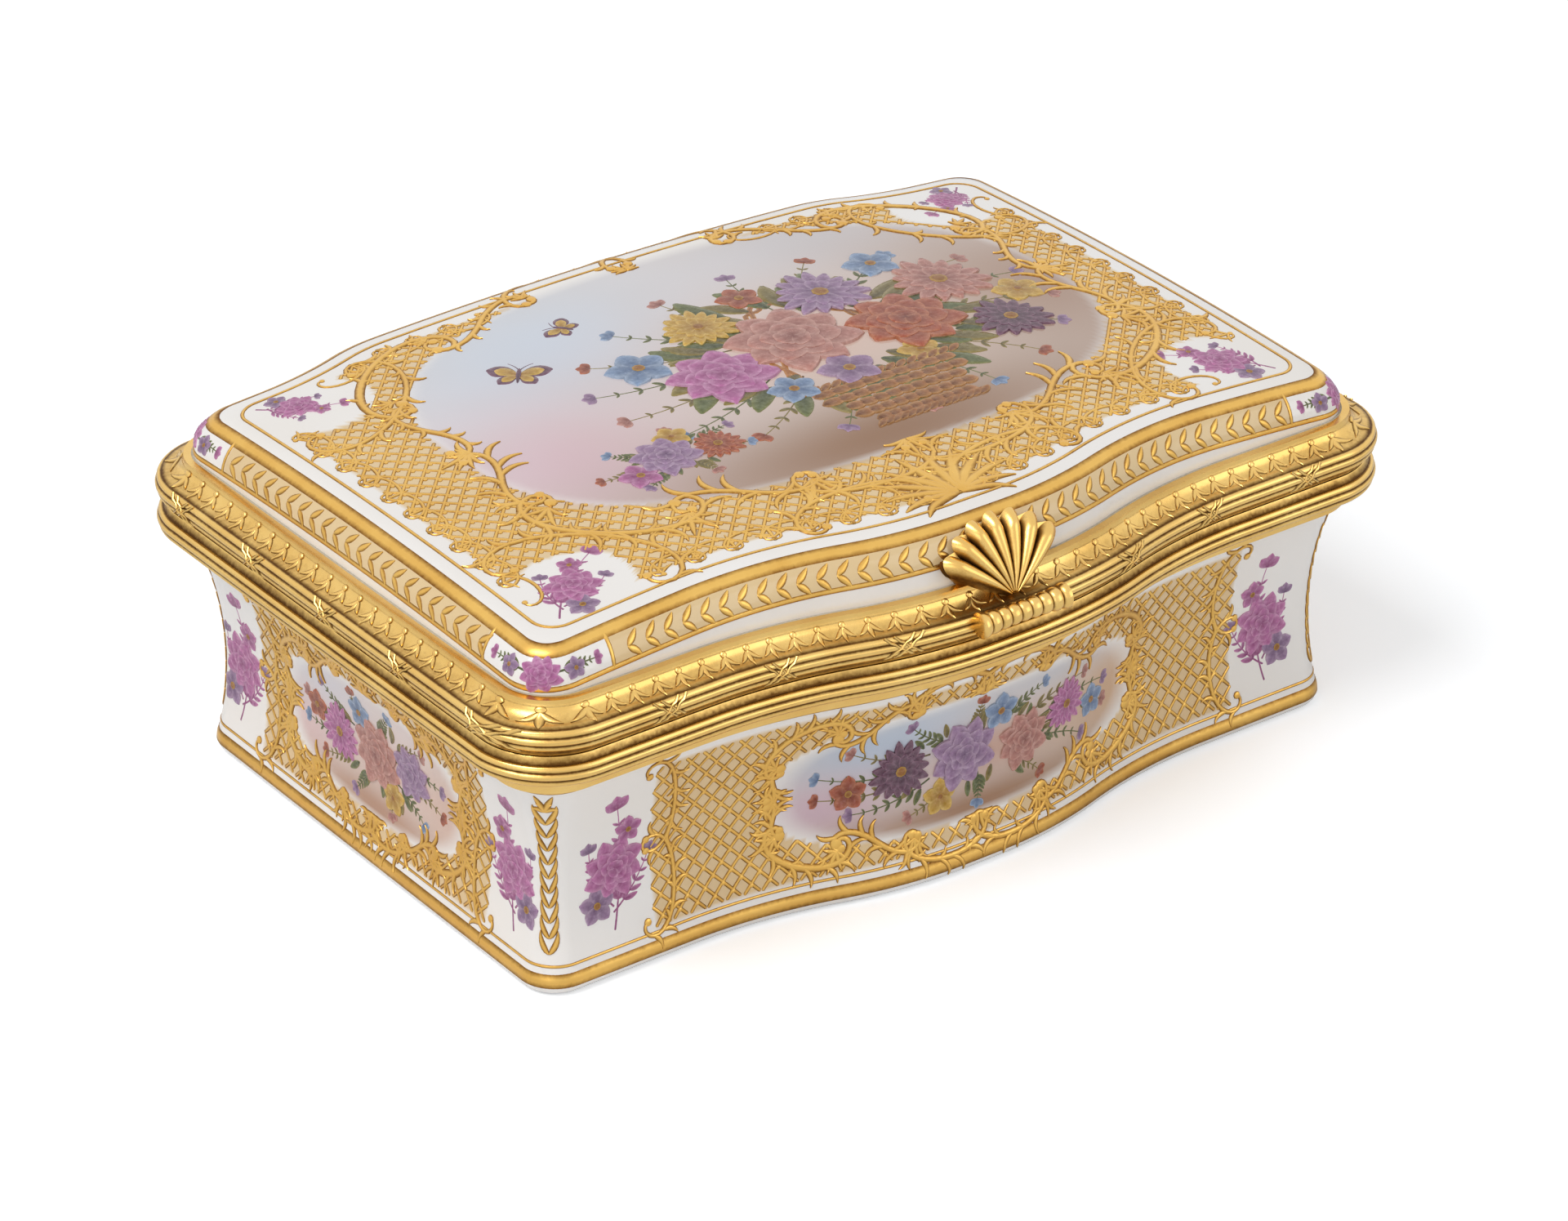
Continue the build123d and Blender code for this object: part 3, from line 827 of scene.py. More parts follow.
@dataclass
class Gilder(Brush):
    """Gold scrollwork: scrolls, leaves, fans, trellis and lines."""

    thick: float = 0.62
    height: float = 0.13
    net_slant: float = 0.82
    net_step: float = 0.2
    leaf_lean: float = 0.3

    def leaf(self, root: complex, heading: float, length: float, bend: float = 0.8,
             broad: float = 1.0) -> None:
        """A comma-shaped leaf, widest before its middle by the sine of the share to the power 0.75.

        Args:
            root: Where it starts.
            heading: Its first direction.
            length: Its length.
            bend: How far it curls over, in radians.
            broad: Multiplies its width.
        """
        share = np.linspace(0.04, 0.97, 8)
        path = wander(root, heading, length, bend * share[1:] ** 0.5 / 5)
        width = self.thick * broad * (0.7 + 0.16 * length) * np.sin(np.pi * share**0.75) ** 0.7
        self.stroke(path, width, self.height * 0.9)

    def fan(self, root: complex, heading: float, length: float, count: int, spread: float) -> None:
        """Leaves spread like a palmette, the outer ones shorter and bent away."""
        for share in np.linspace(-1, 1, count):
            self.leaf(root, heading + share * spread / 2, length * (1 - 0.4 * share**2), share * 0.7)

    def along(self, path: Track, places: Array, side: int, length: float) -> None:
        """Leaves that leave a path on one side, leaning forwards, and curl outwards.

        Args:
            path: The path.
            places: Where they leave it, as shares of its points.
            side: 1 for its left side, -1 for its right.
            length: Length of a leaf, which is longest at the middle of the path.
        """
        step = np.gradient(path)
        for place in places:
            spot = int(round(place * (len(path) - 1)))
            heading = float(np.angle(step[spot]))
            size = length * (0.7 + 0.5 * math.sin(math.pi * place))
            self.leaf(path[spot], heading + side * self.leaf_lean, size, side * 1.3)

    def scroll(self, start: complex, end: complex, curl: Curl = Curl.C, bow: float = 1.0,
               coil: float = 4.2, leaves: float = 1.6, weight: float = 1.0, count: int = 36) -> None:
        """A scroll with dotted eyes, and leaves along its outer side.

        Args:
            start: First eye.
            end: Last eye.
            curl: C or S.
            bow: Half of the turn of the middle.
            coil: Turn of each volute.
            leaves: Length of its leaves, or 0 for none.
            weight: Multiplies its width.
            count: Number of points.
        """
        path = scroll_path(start, end, curl, bow, coil, count)
        share = np.linspace(-1, 1, len(path))
        width = self.thick * weight * (0.5 + 0.5 * np.cos(share * np.pi / 2) ** 1.5)
        self.stroke(path, width, self.height)
        for eye in (start, end):
            self.dot(eye, self.thick * 0.62 * weight, self.height * 1.2)
        if leaves > 0 and curl is Curl.C:
            self.along(path, np.linspace(0.22, 0.74, 8), -1, leaves)
            self.along(path, np.array([0.34, 0.46, 0.58]), 1, leaves * 0.6)
        elif leaves > 0:
            self.along(path, np.array([0.22, 0.3, 0.38, 0.46]), 1, leaves)
            self.along(path, np.array([0.5, 0.58, 0.66, 0.74]), -1, leaves)

    def net(self, keep: Callable[[Track], Mask], reach: float, pitch: float, width: float) -> None:
        """Crossed slanting lines wherever a region keeps them, with a dot in each mesh.

        Args:
            keep: Tells which points lie in the region.
            reach: Farthest that the region lies from the centre.
            pitch: Distance between lines.
            width: Width of a line.
        """
        run = np.arange(-reach, reach, self.net_step)
        for slant in (self.net_slant, -self.net_slant):
            for offset in np.arange(-reach, reach, pitch):
                line = np.exp(1j * slant) * (run + 1j * offset)
                edges = np.flatnonzero(np.diff(np.concatenate([[0], keep(line).astype(int), [0]])))
                for first, last in edges.reshape(-1, 2):
                    if last - first > 3:
                        spots = np.linspace(first, last - 1, 2 + (last - first) // 12).round().astype(int)
                        self.line(line[spots], width, self.height * 0.5)
        steps = np.arange(-reach, reach, pitch) + pitch / 2
        first, second = np.meshgrid(steps, steps)
        lean = np.exp(1j * self.net_slant)
        meshes = (first * lean.conjugate() - second * lean) / math.sin(2 * self.net_slant)
        for place in meshes[keep(meshes.ravel()).reshape(meshes.shape)]:
            self.dot(place, pitch * 0.17, self.height * 0.7)

    def frame(self, half: complex, leaves: float) -> None:
        """A cartouche of C and S scrolls and fans round an oval, one quarter repeated.

        Args:
            half: Half width and half height, whose shares give the scrolls' eyes and the fans' roots.
            leaves: Length of the leaves.
        """
        for start, end, curl, bow, coil, weight in (
                ((0.33, 1.02), (0.03, 1.06), Curl.C, 0.8, 3.8, 1.2),
                ((0.36, 0.99), (0.70, 0.95), Curl.S, 0.8, 3.8, 1.2),
                ((0.98, 0.55), (0.72, 0.87), Curl.C, 1.0, 4.0, 1.5),
                ((0.98, 0.47), (1.04, 0.05), Curl.S, 0.8, 3.6, 1.2)):
            self.scroll(share_of(half, *start), share_of(half, *end), curl, bow, coil, leaves, weight)
        for root, heading in (((0.35, 1.05), 1.7), ((0.72, 0.97), 1.1), ((1.0, 0.58), 0.5)):
            self.fan(share_of(half, *root), heading, leaves * 1.25, 5, 2.0)

    def crown(self, half: complex, length: float) -> None:
        """Fans at the tops and the ends of a cartouche, each drawn in two mirrored halves."""
        for share in np.linspace(0.12, 1, 4):
            size = length * (1.1 - 0.4 * share)
            self.leaf(complex(0.1, half.imag), math.pi / 2 - share * 1.2, size, -0.8 * share)
            self.leaf(complex(half.real, 0.1), share * 1.2, size, 0.8 * share)


class Palette(Enum):
    """Enamel colours of the painter."""

    ROSE = Pigment(tint("7d3a34"), tint("c48478"), tint("e2b2a4"))
    IRON = Pigment(tint("6e2414"), tint("b05232"), tint("d8906a"))
    LILAC = Pigment(tint("5f3b68"), tint("a47fa6"), tint("cdb2c9"))
    PLUM = Pigment(tint("371f32"), tint("6d445c"), tint("9c7489"))
    PUCE = Pigment(tint("86296a"), tint("c06aa4"), tint("e4aed0"))
    BLUE = Pigment(tint("3f5a87"), tint("86a0c4"), tint("bccbde"))
    YELLOW = Pigment(tint("975f14"), tint("dcae42"), tint("eccd78"))
    LEAF = Pigment(tint("2f3a1c"), tint("66703a"), tint("97975a"))
    OLIVE = Pigment(tint("4a3d16"), tint("8a7a38"), tint("b5a05c"))
    BROWN = Pigment(tint("66320f"), tint("b06c2c"), tint("dba35c"))


@dataclass
class Painter(Brush):
    """Enamel flowers: petals, leaves, stems, blossoms, asters, roses and sprigs."""

    crease: float = 60.0
    height: float = 0.03

    def petal(self, root: complex, heading: float, length: float, width: float, colour: Palette,
              level: float = 0.0, bend: float = 0.0, lean: float = 1.25) -> None:
        """One petal or leaf.

        Args:
            root: Where it starts.
            heading: Its first direction.
            length: Its length.
            width: Its greatest width.
            colour: Its colour.
            level: Height of its edges over the skin.
            bend: How far it curls over, in radians.
            lean: Over one where it is widest past its middle.
        """
        share = np.linspace(0.04, 0.97, 9)
        path = wander(root, heading, length, np.full(8, bend / 8))
        outline = width * np.sin(np.pi * share**lean) ** 0.7
        self.stroke(path, outline, self.height, BROAD, colour.value, level)

    def stem(self, root: complex, heading: float, length: float, bend: float, colour: Palette,
             width: float = 0.22) -> Track:
        """A thin stem.

        Args:
            root: Where it starts.
            heading: Its first direction.
            length: Its length.
            bend: How far it turns, in radians.
            colour: Its colour.
            width: Its width at the root.

        Returns:
            Its path.
        """
        path = wander(root, heading, length, np.full(13, bend / 13))
        self.stroke(path, np.linspace(width, width * 0.45, 14), 0.03, FINE, colour.value)
        return path

    def blossom(self, place: complex, radius: float, colour: Palette, level: float) -> None:
        """Five round petals about a yellow eye."""
        for number in range(5):
            heading = 0.3 + 2 * np.pi * number / 5
            self.petal(place, heading, radius, radius * 4.3 / 5, colour, level + 0.003 * number)
        self.dot(place, radius * 0.24, 0.05, Palette.YELLOW.value, level + 0.03)

    def aster(self, place: complex, radius: float, colour: Palette, level: float) -> None:
        """Two rings of narrow petals, of a count and a share of the radius, about a domed eye."""
        for ring, (count, share) in enumerate(((15, 1.0), (11, 0.66))):
            for number in range(count):
                heading = 2 * np.pi * (number + 0.4 * ring) / count
                wave = 1 + 0.1 * math.sin(5.0 * number)
                self.petal(place, heading, radius * share * wave, radius * 0.36, colour,
                           level + 0.035 * ring + 0.004 * (number % 3))
        self.dot(place, radius * 0.22, 0.06, Palette.YELLOW.value, level + 0.06)

    def rose(self, place: complex, radius: float, colour: Palette, level: float) -> None:
        """Four rings of broad petals, of a count and a share of the radius, down to a dark heart."""
        for ring, (count, share) in enumerate(((8, 1.0), (6, 0.74), (5, 0.5), (3, 0.28))):
            for number in range(count):
                heading = 2 * np.pi * (number + 0.45 * ring) / count + 0.2
                self.petal(place, heading, radius * share * (1 + 0.08 * math.sin(3.0 * number)),
                           radius * share * 5.2 / count, colour,
                           level + 0.04 * ring + 0.006 * (number % 2), 0.35)

    def basket(self, place: complex, half: float, high: float, colour: Palette) -> None:
        """A wicker basket that narrows downwards, with two braided rims and an arched handle.

        The handle is two strands twisted about half an ellipse. The weave is short strokes laid
        like bricks in five rows.

        Args:
            place: Its middle.
            half: Half of its width at the top.
            high: Its height.
            colour: Its colour.
        """
        turn = np.linspace(0, np.pi, 40)
        for shift in (-0.45, 0.45):
            arch = half * (0.92 + 0.04 * shift) * np.cos(turn) + 1j * (high * 0.55 + 15.5 * np.sin(turn))
            twist = shift * np.cos(14 * turn) * np.exp(1j * turn)
            self.stroke(place + arch + twist, np.full(40, 0.55), 0.03, FINE, colour.value, 0.01)
        rows = 5
        bulge = np.sin(np.pi * np.linspace(0.1, 0.9, 6)) ** 0.4
        for row in range(rows):
            up = high * (row / (rows - 1) - 0.5)
            reach = half * (0.68 + 0.3 * row / (rows - 1))
            level = 0.03 + 0.012 * (row % 2)
            for number in range(-4 - row % 2, 5):
                middle = (number + 0.5 * (row % 2)) * reach / 4.5
                path = place + complex(middle, up) + np.linspace(-0.5, 0.5, 6) * reach / 4.0
                self.stroke(path, high / rows * 1.2 * bulge, 0.07, BROAD, colour.value, level)
        for up, reach in ((0.66, 1.1), (-0.64, 0.74)):
            for number in np.linspace(-1, 1, 15):
                root = place + complex(number * half * reach - 0.5, high * up - 0.3)
                self.petal(root, 0.55, 1.5, 0.75, colour, 0.07, 0.0, 1.0)

    def butterfly(self, place: complex, heading: float, size: float, wing: Palette, edge: Palette) -> None:
        """Two pairs of wings, each a petal on a larger one, about a slim body with two feelers.

        Args:
            place: Its middle.
            heading: Where its head points.
            size: Length of a fore wing.
            wing: Colour of the wings.
            edge: Colour of their edges and of the body.
        """
        ahead = size * np.exp(1j * heading)
        for side in (-1, 1):
            for turn, reach in ((0.95, 1.0), (2.1, 0.72)):
                way = heading + side * turn
                long = size * reach
                self.petal(place, way, long, long * 0.72, edge, 0.0, side * 0.4, 1.5)
                self.petal(place, way, long * 0.78, long * 0.5, wing, 0.03, side * 0.3, 1.5)
            self.stem(place + 0.3 * ahead, heading + side * 0.3, size * 0.6, side * 0.7, edge, 0.13)
        self.petal(place - 0.45 * ahead, heading, size * 0.85, size * 0.16, edge, 0.07)

    def sprig(self, root: complex, heading: float, length: float, bend: float, green: Palette,
              bud: Palette, leaf: float = 1.6) -> None:
        """A stem with five pairs of leaves and three buds at its tip.

        Args:
            root: Where it starts.
            heading: Its first direction.
            length: Length of the stem.
            bend: How far the stem turns, in radians.
            green: Colour of stem and leaves.
            bud: Colour of the buds.
            leaf: Length of a leaf at the root.
        """
        path = self.stem(root, heading, length, bend, green)
        step = np.gradient(path)
        for number, spot in enumerate((3, 5, 7, 9, 11)):
            way = float(np.angle(step[spot]))
            size = leaf * (1.1 - 0.07 * spot)
            for side in (-1, 1):
                self.petal(complex(path[spot]), way + side * (0.8 + 0.1 * number), size, size * 0.42,
                           green, 0.0, -side * 0.4, 0.9)
        for turn in (-0.9, 0.0, 0.9):
            self.petal(complex(path[-1]), float(np.angle(step[-1])) + turn, leaf * 0.62, leaf * 0.5, bud,
                       0.02)

    def spray(self, root: complex, heading: float, length: float) -> None:
        """A flower spray in puce: three sprigs, a rose and two blossoms.

        Args:
            root: Where it starts.
            heading: Where it grows to.
            length: Its length.
        """
        unit = length / 9
        turn = unit * np.exp(1j * heading)
        self.sprig(root, heading + 0.25, length, -0.5, Palette.PUCE, Palette.PUCE, 1.7 * unit)
        for along, lean, share, bend in ((1.6, -0.75, 0.55, 0.6), (1.2, 0.95, 0.5, -0.6)):
            self.sprig(root + along * turn, heading + lean, length * share, bend, Palette.PUCE,
                       Palette.LILAC, 1.2 * unit)
        self.rose(root + 4.4 * turn, 2.2 * unit, Palette.PUCE, 0.05)
        self.blossom(root + (2.0 - 1.3j) * turn, 1.3 * unit, Palette.LILAC, 0.04)
        self.blossom(root + (7.0 + 0.9j) * turn, 1.0 * unit, Palette.PUCE, 0.04)


@dataclass(frozen=True)
class Bloom:
    """One flower of a bouquet."""

    kind: Flower
    place: complex
    radius: float
    colour: Palette


@dataclass(frozen=True)
class Bouquet:
    """A loose bouquet inside an oval, with leaves behind it and sprigs to its rim."""

    half: complex
    blooms: tuple[Bloom, ...]
    leaves: int
    sprigs: int
    seed: int
    basket: Optional[complex] = None

    def paint(self, painter: Painter) -> None:
        """Paints sprigs and leaves first, then the basket, then the flowers, the largest on top.

        Args:
            painter: The brush, at the bouquet's middle.
        """
        rng = np.random.default_rng(self.seed)
        greens = (Palette.LEAF, Palette.OLIVE)
        buds = (Palette.LILAC, Palette.ROSE, Palette.BLUE, Palette.IRON)
        for number in range(self.sprigs):
            turn = 2 * np.pi * (number + 0.5) / self.sprigs
            rim = share_of(self.half, math.cos(turn), math.sin(turn))
            root = 0.4 * rim
            painter.sprig(root, float(np.angle(rim - root)) + 0.25, abs(rim - root), -0.5,
                          greens[number % 2], buds[number % 4], 1.0 + 0.05 * self.half.imag)
        for number in range(self.leaves):
            turn = 2 * np.pi * (number + rng.uniform(-0.3, 0.3)) / self.leaves
            root = rng.uniform(0.35, 0.6) * share_of(self.half, math.cos(turn), math.sin(turn))
            size = rng.uniform(0.26, 0.4) * self.half.imag
            painter.petal(root, turn + rng.uniform(-0.5, 0.5), size, size * 0.42, greens[number % 2],
                          0.02 + 0.004 * (number % 4), rng.uniform(-0.6, 0.6), 0.95)
        if self.basket is not None:
            painter.basket(self.basket, 6.6, 5.4, Palette.BROWN)
        draw = {Flower.ROSE: painter.rose, Flower.ASTER: painter.aster, Flower.BLOSSOM: painter.blossom}
        for number, bloom in enumerate(sorted(self.blooms, key=lambda item: item.radius)):
            draw[bloom.kind](bloom.place, bloom.radius, bloom.colour, 0.05 + 0.012 * number)


class Socket:
    """A number on its way through a node tree, with which ordinary arithmetic adds Math nodes."""

    def __init__(self, nodes: "Nodes", socket: bpy.types.NodeSocket) -> None:
        """Keeps the tree that new nodes go to, and the socket."""
        self.nodes = nodes
        self.socket = socket

    def _math(self, operation: str, first: "Number", second: "Number") -> "Socket":
        """One Math node with the given operation."""
        node = self.nodes.node("ShaderNodeMath", {"operation": operation}, {0: first, 1: second})
        return Socket(self.nodes, node.outputs[0])

    def __add__(self, other: "Number") -> "Socket":
        """Sum."""
        return self._math("ADD", self, other)

    def __radd__(self, other: float) -> "Socket":
        """Sum, from the right."""
        return self._math("ADD", other, self)

    def __sub__(self, other: "Number") -> "Socket":
        """Difference."""
        return self._math("SUBTRACT", self, other)

    def __mul__(self, other: "Number") -> "Socket":
        """Product."""
        return self._math("MULTIPLY", self, other)

    def __rmul__(self, other: float) -> "Socket":
        """Product, from the right."""
        return self._math("MULTIPLY", other, self)

    def most(self, other: "Number") -> "Socket":
        """The larger of both."""
        return self._math("MAXIMUM", self, other)


Number = Union[Socket, float]
Given = Union[Socket, bpy.types.NodeSocket, float, tuple]


class Nodes:
    """A node tree, with one method that adds any node."""

    def __init__(self, tree: bpy.types.NodeTree) -> None:
        """Empties the tree."""
        self.tree = tree
        tree.nodes.clear()

    def node(self, kind: str, settings: dict[str, object], inputs: dict[Union[int, str], Given]
             ) -> bpy.types.Node:
        """Adds a node.

        Args:
            kind: The node's type.
            settings: Its own properties, set before its sockets.
            inputs: Values or links, by the socket's name or number.

        Returns:
            The new node.
        """
        node = self.tree.nodes.new(kind)
        for key, value in settings.items():
            setattr(node, key, value)
        for key, value in inputs.items():
            self.feed(node.inputs[key], value)
        return node

    def feed(self, socket: bpy.types.NodeSocket, value: Given) -> None:
        """Links a socket, or sets its value.

        Args:
            socket: The socket that takes it.
            value: A link, a number, or a tuple for a colour or a vector.
        """
        if isinstance(value, Socket):
            self.tree.links.new(value.socket, socket)
        elif isinstance(value, bpy.types.NodeSocket):
            self.tree.links.new(value, socket)
        elif isinstance(value, tuple) and socket.type == "RGBA":
            socket.default_value = (*value, 1)
        else:
            socket.default_value = value


class Shader(Nodes):
    """A material on its Principled surface."""

    def __init__(self, name: str) -> None:
        """Starts a material with its surface and its output.

        Args:
            name: The material's name.
        """
        self.material = bpy.data.materials.new(name)
        self.material.use_nodes = True
        super().__init__(self.material.node_tree)
        self.surface = self.node("ShaderNodeBsdfPrincipled", {}, {})
        self.node("ShaderNodeOutputMaterial", {}, {0: self.surface.outputs[0]})

    def set(self, **inputs: Given) -> "Shader":
        """Sets sockets of the surface. An underline in a name stands for a space."""
        for key, value in inputs.items():
            self.feed(self.surface.inputs[key.replace("_", " ")], value)
        return self

    def noise(self, per_mm: float, detail: float = 3.0, roughness: float = 0.5) -> Socket:
        """Noise from 0 to 1 on the piece's own coordinates.

        Args:
            per_mm: How many features there are in a millimetre.
            detail: How many finer layers it has.
            roughness: How strong the finer layers are.

        Returns:
            The noise.
        """
        place = self.node("ShaderNodeTexCoord", {}, {}).outputs["Object"]
        settings = {"Vector": place, "Scale": per_mm / MM, "Detail": detail, "Roughness": roughness}
        return Socket(self, self.node("ShaderNodeTexNoise", {}, settings).outputs["Fac"])

    def stored(self, name: str) -> bpy.types.Node:
        """A value that the mesh carries."""
        return self.node("ShaderNodeAttribute", {"attribute_name": name}, {})

    def mix(self, share: Given, first: Given, second: Given) -> bpy.types.NodeSocket:
        """Colour between two colours."""
        node = self.node("ShaderNodeMix", {"data_type": "RGBA"}, {0: share, 6: first, 7: second})
        return node.outputs[2]

    def multiply(self, first: Given, second: Given) -> bpy.types.NodeSocket:
        """Product of two colours."""
        settings = {"data_type": "RGBA", "blend_type": "MULTIPLY"}
        return self.node("ShaderNodeMix", settings, {0: 1.0, 6: first, 7: second}).outputs[2]

    def clamp(self, value: Socket, low: float, high: float) -> Socket:
        """Maps low to high onto 0 to 1, and keeps it there."""
        node = self.node("ShaderNodeMapRange", {"clamp": True}, {
            "Value": value, "From Min": low, "From Max": high, "To Min": 0.0, "To Max": 1.0})
        return Socket(self, node.outputs["Result"])

    def bump(self, height: Socket, distance: float, strength: float = 1.0) -> bpy.types.Material:
        """Bumps the surface by a height of so many millimetres, and gives the finished material."""
        sizes = {"Height": height, "Distance": distance * MM, "Strength": strength}
        return self.set(Normal=self.node("ShaderNodeBump", {}, sizes).outputs["Normal"]).material


@dataclass(frozen=True)
class Glaze:
    """White porcelain under a clear glaze, with a soft wash of colour where the mesh carries one."""

    white: Colour = tint("f1eeeb")
    warm: Colour = tint("ece6df")
    roughness: float = 0.07

    def make(self) -> bpy.types.Material:
        """Makes the material.

        Returns:
            Faintly uneven white under a wavy glaze with a few pinholes.
        """
        shader = Shader("glazed_porcelain")
        cloud = shader.noise(0.05, 2.0)
        ground = shader.mix(shader.clamp(cloud, 0.35, 0.7), self.white, self.warm)
        colour = shader.multiply(ground, shader.stored("wash").outputs["Color"])
        shader.set(Base_Color=colour, Roughness=self.roughness + 0.05 * shader.noise(0.4), IOR=1.5)
        waves = shader.noise(0.16, 1.0)
        pits = shader.clamp(shader.noise(3.2, 1.0), 0.22, 0.3)
        return shader.bump(waves * 0.9 + pits * 0.12, 0.05, 0.5)


@dataclass(frozen=True)
class Enamel:
    """Fired enamel colours, brushed on thin and glossy."""

    dark: Colour = (0.72, 0.7, 0.7)
    pale: Colour = (0.93, 0.9, 0.86)
    roughness: float = 0.2

    def make(self) -> bpy.types.Material:
        """Makes the material.

        Returns:
            The painted colour, lighter and darker along fine brush marks.
        """
        shader = Shader("painted_enamel")
        paint = shader.stored("paint").outputs["Color"]
        marks = shader.clamp(shader.noise(2.4, 4.0, 0.6), 0.3, 0.72)
        colour = shader.mix(marks, shader.multiply(paint, self.dark), shader.mix(0.08, paint, self.pale))
        shader.set(Base_Color=colour, Roughness=self.roughness + 0.1 * marks, IOR=1.5,
                   Specular_IOR_Level=0.25)
        return shader.bump(shader.noise(1.1, 3.0), 0.02, 0.5)


@dataclass(frozen=True)
class Gold:
    """Gilt metal or gold laid on glaze: bright on the highs, brown with painted shade and dirt in the
    hollows.
    """

    name: str
    bright: Colour
    deep: Colour
    worn: Colour
    roughness: float
    grain: float

    def make(self) -> bpy.types.Material:
        """Makes the material. Recess, carried by the mesh, is 0 on the highs and 1 in the hollows, where it
        lays painted shade and dirt.

        Returns:
            Gold with soft blotches, painted shade and dirt in its hollows, and a fine grain.
        """
        shader = Shader(self.name)
        recess = Socket(shader, shader.stored("recess").outputs["Fac"])
        blotch = shader.noise(0.22, 4.0, 0.6)
        fine = shader.noise(2.6, 4.0, 0.65)
        tone = shader.mix(shader.clamp(blotch, 0.3, 1.0), self.bright, self.worn)
        # Painted shade and dirt: the recess mixes in the deep brown, darkening the hollows and the flanks of
        # raised gold.
        dirt_and_shade = shader.clamp(recess + (fine - 0.5) * 0.5 + (blotch - 0.5) * 0.3, 0.3, 0.95)
        shader.set(
            Base_Color=shader.mix(dirt_and_shade, tone, self.deep),
            Metallic=1.0,
            Roughness=self.roughness + 0.1 * (fine - 0.5) + 0.25 * dirt_and_shade,
        )
        return shader.bump(fine * 0.5 + blotch * 0.6, self.grain, 0.6)


@dataclass(frozen=True)
class Plaster:
    """The pale bed between porcelain and metal."""

    dark: Colour = tint("a89c86")
    pale: Colour = tint("cfc5b2")

    def make(self) -> bpy.types.Material:
        """Makes the material.

        Returns:
            A grainy, matt plaster.
        """
        shader = Shader("bedding_plaster")
        grain = shader.noise(4.0, 4.0)
        shader.set(Base_Color=shader.mix(grain, self.dark, self.pale), Roughness=0.9)
        return shader.bump(grain, 0.03)


@dataclass(frozen=True)
class Wire:
    """Drawn steel wire of the hinge pin."""

    dark: Colour = tint("8c8982")
    pale: Colour = tint("b4b0a8")

    def make(self) -> bpy.types.Material:
        """Makes the material.

        Returns:
            Grey metal with fine scratches.
        """
        shader = Shader("pin_wire")
        scratch = shader.noise(6.0, 4.0)
        shader.set(Base_Color=shader.mix(scratch, self.dark, self.pale), Metallic=1.0,
                   Roughness=0.25 + 0.2 * scratch)
        return shader.bump(scratch, 0.01)


@dataclass(frozen=True)
class Finishes:
    """All finishes, made once."""

    glaze: Finish
    enamel: Finish
    mount: Finish
    leaf: Finish
    plaster: Finish
    wire: Finish

    @staticmethod
    def make() -> "Finishes":
        """Makes every finish.

        Returns:
            The finishes, each with its slot.
        """
        # The second colour of each gold is the deep brown of the painted shade and dirt in its hollows.
        mount = Gold("gilt_mount", tint("f0ca7c"), tint("5f3f1b"), tint("dcab57"), 0.25, 0.03)
        leaf = Gold("gold_on_glaze", tint("ebbf69"), tint("7c5222"), tint("d49f49"), 0.3, 0.02)
        return Finishes(
            glaze=Finish(Glaze().make(), Slot.PORCELAIN),
            enamel=Finish(Enamel().make(), Slot.PORCELAIN),
            mount=Finish(mount.make(), Slot.GILT_METAL),
            leaf=Finish(leaf.make(), Slot.GILT_METAL),
            plaster=Finish(Plaster().make(), Slot.BEDDING),
            wire=Finish(Wire().make(), Slot.PIN_STEEL),
        )

    def dress_solids(self, frame: dict) -> None:
        """Gives every CAD node the material of its slot.

        Args:
            frame: The loaded frame, with its record and its nodes.
        """
        chosen = {finish.slot.value: finish.material
                  for finish in (self.glaze, self.mount, self.plaster, self.wire)}
        for part in frame["record"]["subparts"]:
            mesh = frame["nodes"][part["node"]].data
            mesh.materials.clear()
            mesh.materials.append(chosen[part["material_slot"]])


@dataclass(frozen=True)
class ProfileSkin:
    """A moulding's face, measured by the distance walked round it and the way over its section."""

    plan: Plan
    insets: Array
    heights: Array

    @cached_property
    def way(self) -> Array:
        """Length over the section at each of its points."""
        step = np.hypot(np.diff(self.insets), np.diff(self.heights))
        return np.concatenate([[0], np.cumsum(step)])

    def place(self, points: Array) -> Array:
        """Puts points on the moulding.

        Args:
            points: Rows of distance walked, way over the section, and lift off it.

        Returns:
            The points in the frame.
        """
        walked, over, lift = points.T
        rail, outward = self.plan.locate(walked)
        slope_in = np.interp(over, self.way, np.gradient(self.insets, self.way))
        slope_up = np.interp(over, self.way, np.gradient(self.heights, self.way))
        turn = np.sign(self.heights[-1] - self.heights[0]) / np.hypot(slope_in, slope_up)
        reach = np.interp(over, self.way, self.insets) - turn * lift * slope_up
        height = np.interp(over, self.way, self.heights) + turn * lift * slope_in
        return np.column_stack([rail - outward * reach[:, None], height])


